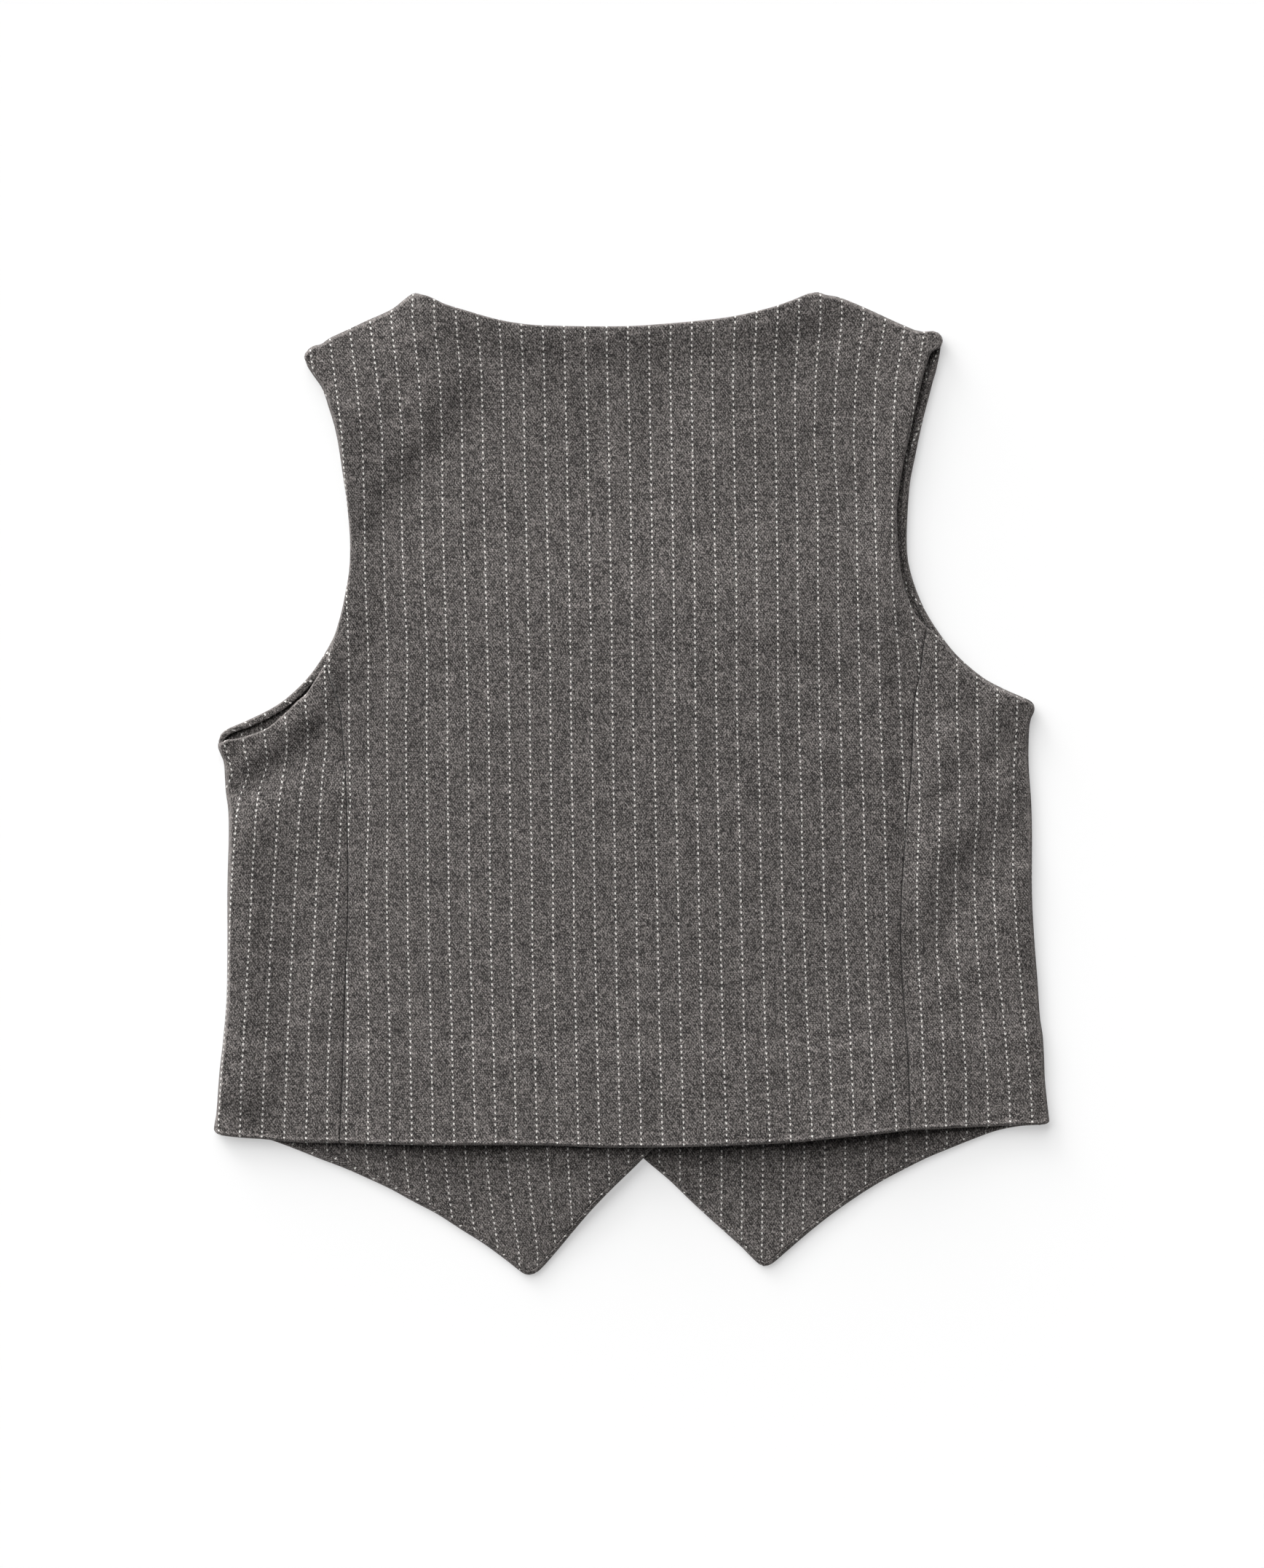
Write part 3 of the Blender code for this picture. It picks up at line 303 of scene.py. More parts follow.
# Smaller creases and soft rises that only this cloth has, in the same order
CREASES = (
    # shoulders and neck
    (-71.0, 153.0, -89.5, 129.5, 10.5, 2.15),
    (-94.0, 122.0, -106.0, 105.0, 8.5, 1.3),
    (-82.0, 169.0, -101.0, 145.0, 13.0, 1.9),
    (-106.0, 136.0, -122.0, 117.0, 12.0, 1.4),
    (66.0, 141.0, 84.0, 123.0, 7.5, 1.0),
    (92.0, 118.0, 96.0, 100.0, 5.0, 0.5),
    (-20.0, 196.0, 30.0, 196.0, 34.0, 1.4),
    # left armpit
    (-158.0, 0.0, -124.0, 26.0, 4.8, 0.75),
    (-157.0, 9.5, -136.0, 18.0, 3.5, -0.35),
    (-150.0, -7.0, -119.0, 17.0, 4.0, -0.3),
    (-151.0, -20.0, -124.0, 2.0, 6.5, 0.5),
    (-118.0, 54.0, -113.0, 40.0, 4.0, 0.5),
    (-106.0, 42.0, -102.0, 28.0, 4.5, 0.6),
    # right side
    (142.0, -2.0, 125.0, -20.0, 10.0, 1.4),
    (120.0, -21.0, 110.0, -50.0, 10.0, 1.5),
    (128.0, 14.0, 112.0, -4.0, 11.0, 0.7),
    (150.0, -22.0, 118.0, -68.0, 7.0, -0.4),
    (140.0, 32.0, 136.0, 14.0, 5.0, 1.0),
    (122.0, 18.0, 116.0, 4.0, 6.0, 0.7),
    (104.0, 60.0, 104.5, -150.0, 5.0, -0.6),
    (97.0, 92.0, 97.0, -130.0, 8.0, 0.5),
    # left side
    (-153.0, -30.0, -152.0, -130.0, 18.0, 2.6),
    (-112.0, -58.0, -124.0, -98.0, 8.0, 0.6),
    (-108.5, -10.0, -109.0, -118.0, 4.5, -0.5),
    # middle
    (40.0, 61.0, 66.0, 55.0, 6.0, 0.7),
    (74.0, 13.0, 96.0, 8.0, 6.0, 0.7),
    (20.0, 30.0, 38.0, 14.0, 8.0, 0.5),
    (-60.0, 108.0, 12.0, 104.0, 18.0, 1.0),
)
LEAST_LOFT = 0.09                      # keeps the deepest troughs off the cloth beneath
SIDE_DROOP = 0.82                      # how far the back comes down beside its rolled edges
SIDE_DROOP_RUN = 9.0
FOLD_REACH = 1.6                       # half widths over which a fold runs out

# Stripes: where each one crosses each level. The first number of a row is its y.
STRIPE_PITCH = 8.04
BACK_STRIPES = {
    "order": (5, 7, 10, 14, 18, 22, 25, 28, 30, 31),
    "levels": (
        (178.0, -108.9, -92.5, -67.6, -34.3, -1.7, 31.3, 55.9, 80.5, 97.3, 105.2),
        (155.7, -105.9, -89.8, -65.7, -33.7, -1.4, 30.8, 54.6, 78.4, 93.6, 101.3),
        (133.3, -103.5, -88.0, -65.3, -33.3, -0.9, 31.2, 55.2, 77.3, 92.8, 100.0),
        (105.3, -102.6, -88.6, -64.8, -32.7, -0.5, 31.6, 55.5, 79.2, 93.3, 99.9),
        (77.3, -102.3, -87.6, -64.1, -32.1, -0.1, 32.0, 55.8, 79.0, 93.9, 99.7),
        (49.3, -101.1, -86.1, -63.4, -31.4, 0.2, 32.1, 55.9, 79.4, 94.7, 102.3),
        (21.3, -101.3, -86.8, -62.8, -31.2, 0.5, 32.4, 56.1, 80.0, 95.4, 103.3),
        (-6.7, -100.9, -86.5, -62.6, -30.9, 1.0, 32.9, 57.0, 80.8, 96.7, 104.6),
        (-34.7, -101.9, -86.2, -62.4, -30.3, 1.5, 33.4, 57.4, 81.4, 97.4, 105.1),
        (-62.7, -101.7, -85.9, -62.0, -30.2, 1.9, 34.1, 58.2, 82.1, 97.8, 105.7),
        (-90.7, -101.0, -85.1, -61.2, -29.5, 2.4, 34.7, 59.0, 83.4, 99.1, 107.0),
        (-135.5, -101.3, -84.4, -60.1, -28.6, 3.5, 36.3, 60.9, 85.3, 101.5, 109.6),
    ),
}
LEFT_SIDE_STRIPES = {
    "order": (-2, -1, 0, 1, 2, 3, 4),
    "levels": (
        (40.0, -158.0, -150.9, -142.6, -134.5, -126.3, -117.8, -109.6),
        (30.0, -157.6, -150.3, -142.0, -133.6, -125.2, -117.4, -109.3),
        (20.0, -157.0, -149.5, -141.0, -132.5, -124.3, -117.2, -109.2),
        (14.0, -156.1, -149.0, -140.4, -132.5, -124.3, -117.4, -109.4),
        (8.0, -154.3, -147.4, -139.8, -133.1, -125.1, -118.2, -110.0),
        (4.0, -153.4, -147.0, -141.0, -133.9, -125.7, -118.7, -110.4),
        (0.0, -155.0, -148.6, -142.5, -134.4, -126.5, -119.0, -110.7),
        (-5.0, -158.0, -150.5, -143.6, -135.1, -127.2, -119.3, -111.0),
        (-11.0, -159.3, -151.6, -144.3, -135.8, -127.7, -119.6, -111.5),
        (-35.0, -161.0, -153.4, -145.6, -137.2, -129.0, -120.9, -112.8),
        (-63.0, -163.0, -155.0, -147.0, -138.7, -130.4, -122.1, -114.2),
        (-91.0, -165.0, -156.8, -148.6, -140.0, -131.9, -123.9, -115.9),
        (-113.0, -166.0, -158.0, -149.7, -141.1, -132.7, -124.3, -116.8),
        (-135.5, -167.0, -159.0, -150.6, -142.1, -133.5, -125.1, -117.0),
    ),
}
RIGHT_SIDE_STRIPES = {
    "order": (32, 33, 34, 35, 36, 37, 38),
    "levels": (
        (50.0, 109.4, 116.6, 124.5, 132.2, 140.2, 148.0, 156.0),
        (21.3, 109.4, 117.0, 124.8, 132.6, 140.0, 147.6, 155.4),
        (4.0, 110.2, 118.0, 125.7, 133.0, 140.3, 146.4, 154.4),
        (-6.7, 110.3, 118.2, 125.8, 133.1, 140.3, 146.7, 154.7),
        (-20.0, 109.9, 117.9, 125.0, 132.0, 139.2, 146.3, 154.3),
        (-34.7, 109.3, 117.3, 124.1, 131.2, 138.6, 146.2, 154.2),
        (-62.7, 109.5, 116.9, 124.7, 132.3, 139.8, 148.0, 156.2),
        (-90.7, 111.1, 119.0, 126.8, 134.8, 142.7, 150.6, 158.9),
        (-113.1, 112.0, 119.9, 128.1, 136.3, 144.5, 152.8, 161.0),
        (-135.5, 112.9, 120.5, 128.2, 136.9, 145.4, 154.0, 162.0),
    ),
}
LEFT_LINING_STRIPES = {
    "order": (0, 4, 8, 12, 14),
    "levels": (
        (-120.0, -112.0, -81.6, -49.2, -17.3, -1.6),
        (-143.9, -109.3, -79.7, -48.0, -16.7, -1.3),
        (-157.9, -107.4, -78.2, -46.6, -16.1, -1.0),
        (-180.3, -104.0, -74.9, -43.3, -15.0, -0.4),
    ),
}
RIGHT_LINING_STRIPES = {
    "order": (0, 4, 8, 12),
    "levels": (
        (-120.0, 10.8, 42.6, 74.4, 105.4),
        (-143.9, 10.5, 42.4, 74.1, 105.4),
        (-157.9, 10.3, 42.4, 73.8, 105.6),
        (-180.3, 10.0, 41.9, 73.3, 105.6),
    ),
}
COURSE_TILT = 0.0175                   # courses run this much downhill to the right

# Lattice sizes, in cells
ARMHOLE_CELLS = 64
SHOULDER_CELLS = 24
NECKLINE_CELLS = 80
SEAM_CELLS = 96
SIDE_PANEL_CELLS = 32
SIDE_PANEL_ROWS = 124
FRONT_CELLS = {
    "front_hem": 72, "cutaway": 40, "front_edge": 72, "neck_edge": 58, "shoulder": 14,
    "front_armhole": 60, "front_side": 52,
}
CROWDING = 0.6                         # how much closer the cells lie at the ends of an edge
SIDE_CROWDING = 0.45
RELAXING_ROUNDS = 900
RELAXING_STEP = 0.8
FINENESS = 24                          # steps of a smooth curve between two of its points
SPACING = 0.5                          # of the points from which an inner line is made, in mm
FEWEST_CELLS = 8
CORNER_POINTS = 4                      # points that an inner line leaves out beside a corner
INNER_LINE_ROUNDS = 60
OPPOSITE_ROUNDS = 8
OPPOSITE_FINENESS = 8
ROLLED_EDGE_STEP = 4
BLOCK = 4000                           # points measured at a time


# ---------------------------------------------------------------- lines

def smooth_step(value, low, high):
    """Go from 0 at low to 1 at high with level ends."""
    share = np.clip((value - low) / (high - low), 0.0, 1.0)
    return share * share * (3.0 - 2.0 * share)


def lengths_along(curve):
    return np.concatenate(([0.0], np.cumsum(np.linalg.norm(np.diff(curve, axis=0), axis=1))))


def points_at(curve, distances):
    along = lengths_along(curve)
    return np.stack([np.interp(distances, along, curve[:, axis]) for axis in (0, 1)], axis=1)


def evenly(curve, cells, crowding=0.0):
    """Points along a curve, evenly spaced or crowded towards both of its ends."""
    share = np.linspace(0.0, 1.0, cells + 1)
    share = share - crowding * np.sin(math.tau * share) / math.tau
    return points_at(curve, share * lengths_along(curve)[-1])


def densely(curve):
    return evenly(curve, max(int(lengths_along(curve)[-1] / SPACING), FEWEST_CELLS))


def trimmed(curve, start, end):
    """Curve without the given lengths at its start and end."""
    length = lengths_along(curve)[-1]
    return points_at(curve, np.linspace(start, length - end, len(curve)))


def curve_through(points, first=0, last=None):
    """Dense smooth curve through the points from index first to index last."""
    points = np.array(points, float)
    last = len(points) - 1 if last is None else last
    padded = np.vstack((2 * points[0] - points[1], points, 2 * points[-1] - points[-2]))
    steps = np.linspace(0.0, 1.0, FINENESS + 1)[1:, None]
    dense = [points[first:first + 1]]
    for index in range(first, last):
        before, start, end, after = padded[index:index + 4]
        length = np.linalg.norm(end - start)
        start_slope = length * (end - before) / (length + np.linalg.norm(start - before))
        end_slope = length * (after - start) / (length + np.linalg.norm(after - end))
        dense.append(
            (2 * steps**3 - 3 * steps**2 + 1) * start
            + (steps**3 - 2 * steps**2 + steps) * start_slope
            + (3 * steps**2 - 2 * steps**3) * end + (steps**3 - steps**2) * end_slope
        )
    return np.vstack(dense)


def beside(points, distance):
    """Points moved sideways, to the left of the line that they form."""
    slopes = np.gradient(points, axis=0)
    slopes /= np.linalg.norm(slopes, axis=1)[:, None]
    return points + distance * np.stack((-slopes[:, 1], slopes[:, 0]), axis=1)


def inner_line(curve, start, end, cells, crowding=0.0):
    """Line BORDER inside an edge line, from one lattice corner to the next, smoothed."""
    moved = beside(densely(curve), BORDER)
    first = int(np.argmin(np.linalg.norm(moved - start, axis=1))) + CORNER_POINTS
    last = int(np.argmin(np.linalg.norm(moved - end, axis=1))) - CORNER_POINTS
    line = np.vstack((start, moved[first:last], end)) if last > first else np.vstack((start, end))
    line = densely(line)
    for _ in range(INNER_LINE_ROUNDS):
        line[1:-1] += 0.5 * ((line[:-2] + line[2:]) / 2 - line[1:-1])
    return evenly(line, cells, crowding)


def opposite(curve, line):
    """Points of an edge line straight across from those of its inner line, and at its ends."""
    dense = evenly(curve, OPPOSITE_FINENESS * len(line))
    along = lengths_along(dense)
    gaps = np.hypot(dense[:, 0, None] - line[:, 0], dense[:, 1, None] - line[:, 1])
    places = along[gaps.argmin(axis=0)]
    run = lengths_along(line)
    places -= places[0] * (1.0 - smooth_step(run, 0.0, CORNER_RUN))
    places += (along[-1] - places[-1]) * smooth_step(run - run[-1], -CORNER_RUN, 0.0)
    for _ in range(OPPOSITE_ROUNDS):
        places[1:-1] += 0.5 * ((places[:-2] + places[2:]) / 2 - places[1:-1])
    return points_at(dense, np.maximum.accumulate(places))


def mirrored(points, side):
    """Points of a table, turned so that the right side is built like the left one."""
    return np.array(points, float) * (-side, 1.0)


# ---------------------------------------------------------------- form of the cloth

def front_height(x, y, side):
    """Underside of a front: flat, raised by the buttons, and the left one over the right."""
    lift = BUTTON_LIFT * smooth_step(y, *BUTTONS_FOOT) * (1.0 - smooth_step(y, *BUTTONS_TOP))
    if side > 0:
        return lift * (1.0 - smooth_step(x, *BUTTONS_RIGHT))
    over = smooth_step(x, *LAP_LEFT) * smooth_step(y, *LAP_FOOT) * (1.0 - smooth_step(y, *LAP_TOP))
    return over * (FRONT_HEIGHT + LAYER_GAP + lift)


def fold_relief(x, y, folds):
    """Sum of soft ridges and troughs."""
    relief = np.zeros_like(x)
    for start_x, start_y, end_x, end_y, half_width, height in folds:
        along_x, along_y = end_x - start_x, end_y - start_y
        length = math.hypot(along_x, along_y)
        run = ((x - start_x) * along_x + (y - start_y) * along_y) / length
        across = np.abs((x - start_x) * along_y - (y - start_y) * along_x) / length
        beyond = np.maximum(np.maximum(-run, run - length), 0.0)
        reach = FOLD_REACH * half_width
        relief += height * (1.0 - smooth_step(np.hypot(across, beyond), 0.0, reach))
    return relief


HEM_X, HEM_Y = np.array(HEM).T


def above_hem(x, y):
    return y - np.interp(x, HEM_X, HEM_Y)


def back_height(x, y):
    """Underside of the back: over the fronts, the overlap and the open neck."""
    rise = smooth_step(x, *BACK_LEFT) * (1.0 - smooth_step(x, *BACK_RIGHT))
    rise = rise * (1.0 - smooth_step(y, *BACK_TOP))
    above = above_hem(x, y)
    free = smooth_step(above, *HEM_LOFT_RUN)
    loft = HEM_LOFT + (LOFT - HEM_LOFT + fold_relief(x, y, FOLDS)) * free
    loft = loft + fold_relief(x, y, CREASES) * smooth_step(above, *CREASE_START)
    loft = 0.5 * (loft + np.sqrt(loft * loft + LEAST_LOFT))
    lifted = 1.0 - smooth_step(np.abs(x - HEM_LIFT_MIDDLE), 0.0, HEM_LIFT_REACH)
    lifted = lifted * (1.0 - smooth_step(above, 0.0, HEM_LIFT_DEPTH))
    half_neck = np.maximum((y - NECK_CROSSING) * NECK_WIDENING, 1.0)
    from_middle = np.abs(x - NECK_MIDDLE) / half_neck
    sag = NECK_SAG * smooth_step(y, *NECK_SAG_RISE)
    sag = sag * (1.0 - smooth_step(from_middle, *NECK_SAG_FADE))
    return BACK_LEVEL + OVERLAP_RISE * rise + loft + HEM_LIFT * lifted - sag


def turned_edge_points():
    """Points along the armholes and the neckline of the back, a millimetre apart."""
    lines = [NECKLINE]
    for body in (LEFT, RIGHT):
        lines += [body["back_armhole"], body["side_armhole"]]
    dense = [curve_through(line) for line in lines]
    return np.vstack([evenly(line, int(lengths_along(line)[-1])) for line in dense])


def rolled_edge_points():
    """Points along both sides and the left shoulder of the back."""
    lines = [LEFT["shoulder"], LEFT["side_line"], RIGHT["side_line"]]
    return np.vstack([curve_through(line)[::ROLLED_EDGE_STEP] for line in lines])


TURNED_EDGES = turned_edge_points()
ROLLED_EDGES = rolled_edge_points()


def distance_from(edges, x, y):
    """Distance from the nearest of the given points."""
    places = np.stack((np.ravel(x), np.ravel(y)), axis=1)
    nearest = np.empty(len(places))
    for start in range(0, len(places), BLOCK):
        block = places[start:start + BLOCK]
        gaps = np.hypot(
            block[:, 0, None] - edges[None, :, 0], block[:, 1, None] - edges[None, :, 1]
        )
        nearest[start:start + BLOCK] = gaps.min(axis=1)
    return nearest.reshape(np.shape(x))


def back_face(x, y):
    """Upper face of the back, raised over its turned-up hem and its turned edges."""
    over_hem = 1.0 - smooth_step(above_hem(x, y), HEM_ALLOWANCE, HEM_ALLOWANCE + HEM_STEP)
    over_edge = 1.0 - smooth_step(distance_from(TURNED_EDGES, x, y), *EDGE_RISE_RUN)
    droop = 1.0 - smooth_step(distance_from(ROLLED_EDGES, x, y), 0.0, SIDE_DROOP_RUN)
    raised = np.maximum(HEM_STEP_SHARE * over_hem, over_edge)
    face = back_height(x, y) + CLOTH + TURN_STEP * raised
    return face - SIDE_DROOP * droop


# ---------------------------------------------------------------- stripes

def stripe_map(stripes):
    """Function that gives the place in the cloth of points x, y: across and along, in mm."""
    levels = np.array(sorted(stripes["levels"]))
    order = np.array(stripes["order"], float) * STRIPE_PITCH

    def place(x, y):
        crossings = np.stack(
            [np.interp(y, levels[:, 0], column) for column in levels[:, 1:].T], axis=1
        )
        column = np.clip((x[:, None] >= crossings).sum(axis=1) - 1, 0, len(order) - 2)
        rows = np.arange(len(x))
        low, high = crossings[rows, column], crossings[rows, column + 1]
        share = (x - low) / (high - low)
        across = order[column] + share * (order[column + 1] - order[column])
        return across, y + COURSE_TILT * x

    return place


# ---------------------------------------------------------------- edges

class Edge:
    """An edge line of cloth with the line of the lattice that lies inside it, point by point."""

    def __init__(self, stretches, closed=False):
        """Each stretch is (kind, outer points, inner points), and their ends coincide."""
        outer, inner, kinds = [], [], []
        for kind, outer_points, inner_points in stretches:
            last = len(outer_points) - 1
            outer.extend(outer_points[:last])
            inner.extend(inner_points[:last])
            kinds.extend([kind] * last)
        if not closed:
            outer.append(outer_points[-1])
            inner.append(inner_points[-1])
            kinds.append(kind)
        self.outer = np.array(outer)
        self.inner = np.array(inner)
        self.kinds = kinds
        self.closed = closed
        inward = self.inner - self.outer
        self.reach = np.linalg.norm(inward, axis=1)
        self.inward = inward / self.reach[:, None]

    def inside(self, distance, limited=True):
        """Points at a distance inside the edge, which may differ from point to point."""
        distance = np.broadcast_to(distance, self.reach.shape)
        if limited:
            distance = np.minimum(distance, LONGEST_INSIDE * self.reach)
        return self.outer + self.inward * distance[:, None]

    def along(self):
        return lengths_along(self.outer)

    def near(self, kinds, run):
        """1 on the given kinds of stretch, fading to 0 over a run on either side."""
        along = self.along()
        total = along[-1] + np.linalg.norm(self.outer[0] - self.outer[-1])
        marked = np.array([kind in kinds for kind in self.kinds])
        marked = marked | np.roll(marked, 1) if self.closed else marked
        if not marked.any():
            return np.zeros(len(along))
        gaps = np.abs(along[:, None] - along[None, marked])
        if self.closed:
            gaps = np.minimum(gaps, total - gaps)
        return 1.0 - smooth_step(gaps.min(axis=1), 0.0, run)


def with_arc(inner, inward, rings):
    """Add to each ring of points the places that they have in the cloth when it lies flat."""
    spread, travelled, before = [], 0.0, None
    for ring in rings:
        if before is None:
            travelled = np.linalg.norm(ring[:, :2] - inner, axis=1)
        else:
            travelled = travelled + np.linalg.norm(ring - before, axis=1)
        spread.append(inner - inward * travelled[:, None])
        before = ring
    return list(zip(rings, spread))


def back_rings(edge, height, face):
    """Rings round an edge of the back: turned, or rolled down to a side or shoulder seam."""
    rolled = edge.near(("shoulder", "side_line"), CORNER_BLEND)
    turned_steps = [(step, None) for step in FLAT_TURNED]
    turned_steps += [(TURN_RADIUS * (1.0 - math.cos(math.radians(bend))), bend) for bend in BEND]
    turned_steps.append((TURN_RADIUS + EDGE_TURNING, -90.0))
    rolled_steps = [(step, None) for step in FLAT_ROLLED]
    rolled_steps += [(SIDE_ROLL * (1.0 - math.cos(math.radians(bend))), bend) for bend in ROLL]
    rolled_steps.append((0.0, "rim"))
    rings = []
    for (turned_in, bend), (rolled_in, roll) in zip(turned_steps, rolled_steps):
        places = edge.inside((1.0 - rolled) * turned_in + rolled * rolled_in)
        x, y = places.T
        top = face(x, y)
        low = height(x, y)
        if bend is None:
            turned_height = top
        else:
            turned_height = low + TURN_RADIUS * (1.0 + math.sin(math.radians(bend)))
        if roll is None:
            rolled_height = top
        elif roll == "rim":
            rolled_height = np.full_like(top, BACK_RIM)
        else:
            rolled_height = SPRING + (top - SPRING) * math.sin(math.radians(roll))
        heights = (1.0 - rolled) * turned_height + rolled * rolled_height
        rings.append(np.column_stack((places, heights)))
    return with_arc(edge.inner, edge.inward, rings)


RING_BENDS = [90.0] * len(FLAT_TURNED) + list(BEND) + [-90.0]


def front_rings(edge, height, turning, lip):
    """Rings round the edge of a front: turned up and over, or rolled up to its seam."""
    rolled = edge.near(("shoulder", "front_side"), CORNER_BLEND)
    rings = []
    steps = [(step, step, None, None) for step in FLAT_FRONT]
    for bend, roll in zip(BEND[::-1], ROLL[::-1]):
        turned_in = TURN_RADIUS * (1.0 - math.cos(math.radians(bend)))
        rolled_in = TURN_RADIUS * (1.0 - math.sin(math.radians(roll)))
        steps.append((turned_in, rolled_in, bend, roll))
    for share, extra, drop, rim in FRONT_INNER:
        steps.append((TURN_RADIUS + share * turning + extra, 0.0, -drop, rim))
    for number, (turned_in, rolled_in, bend, roll) in enumerate(steps):
        places = edge.inside((1.0 - rolled) * turned_in + rolled * rolled_in)
        low = height(*places.T)
        if bend is None:
            turned_height = rolled_height = low
        elif number < len(FLAT_FRONT) + len(BEND):
            turned_height = low + TURN_RADIUS * (1.0 + math.sin(math.radians(bend)))
            rolled_height = low + TURN_RADIUS * (1.0 - math.cos(math.radians(roll)))
        else:
            turned_height = low + TURNED + bend
            start = low + TURN_RADIUS
            rolled_height = start + (FRONT_RIM - start) * roll
        heights = (1.0 - rolled) * turned_height + rolled * rolled_height
        out = LIP_SHARES[number] if number < len(LIP_SHARES) else 1.0
        rings.append(np.column_stack((places, heights + lip * out)))
    return with_arc(edge.inner, edge.inward, rings)


def lining_rings(edge, height, turning):
    """Rings that draw the edge of a lining down beside the turned edge of its front."""
    rolled = edge.near(("shoulder", "front_side"), CORNER_BLEND)
    inset = (1.0 - rolled) * (TURN_RADIUS + turning + LINING_GAP) + rolled * LINING_INSET
    sink = LINING_SINK * edge.near(("front_armhole",), LINING_SINK_RUN)
    rings = []
    for extra, drop in LINING_RINGS:
        places = edge.inside(inset + extra)
        rings.append(np.column_stack((places, height(*places.T) + FRONT_HEIGHT - drop - sink)))
    return with_arc(edge.inner, edge.inward, rings)


def patch(bottom, top, left, right):
    """Lattice of x, y points between four boundary lines, as rows from bottom to top."""
    def shares(line):
        lengths = lengths_along(line)
        return lengths / lengths[-1]

    u = ((shares(bottom) + shares(top)) / 2)[None, :, None]
    v = ((shares(left) + shares(right)) / 2)[:, None, None]
    ruled = (1 - v) * bottom[None] + v * top[None] + (1 - u) * left[:, None] + u * right[:, None]
    corners = (1 - u) * (1 - v) * bottom[0] + u * (1 - v) * bottom[-1]
    corners = corners + (1 - u) * v * top[0] + u * v * top[-1]
    return ruled - corners


def relaxed(lattice, rounds):
    """Even out the inner points of a lattice, each towards the mean of its neighbours."""
    lattice = lattice.copy()
    for _ in range(rounds):
        inner = lattice[1:-1, 1:-1]
        mean = lattice[:-2, 1:-1] + lattice[2:, 1:-1] + lattice[1:-1, :-2] + lattice[1:-1, 2:]
        lattice[1:-1, 1:-1] = inner + RELAXING_STEP * (mean / 4 - inner)
    return lattice


def walk(*corners):
    """Places of a lattice, as (row, column), in straight lines from corner to corner."""
    places = [corners[0]]
    for corner in corners[1:]:
        while places[-1] != corner:
            steps = ((there > here) - (there < here) for here, there in zip(places[-1], corner))
            places.append(tuple(here + step for here, step in zip(places[-1], steps)))
    return places


def stretch(kind, curve, start, end, cells, crowding):
    """Stretch of an edge: its kind, its points, and those of the lattice's line inside it."""
    line = inner_line(curve, start, end, cells, crowding)
    return kind, opposite(curve, line), line


# ---------------------------------------------------------------- sheets

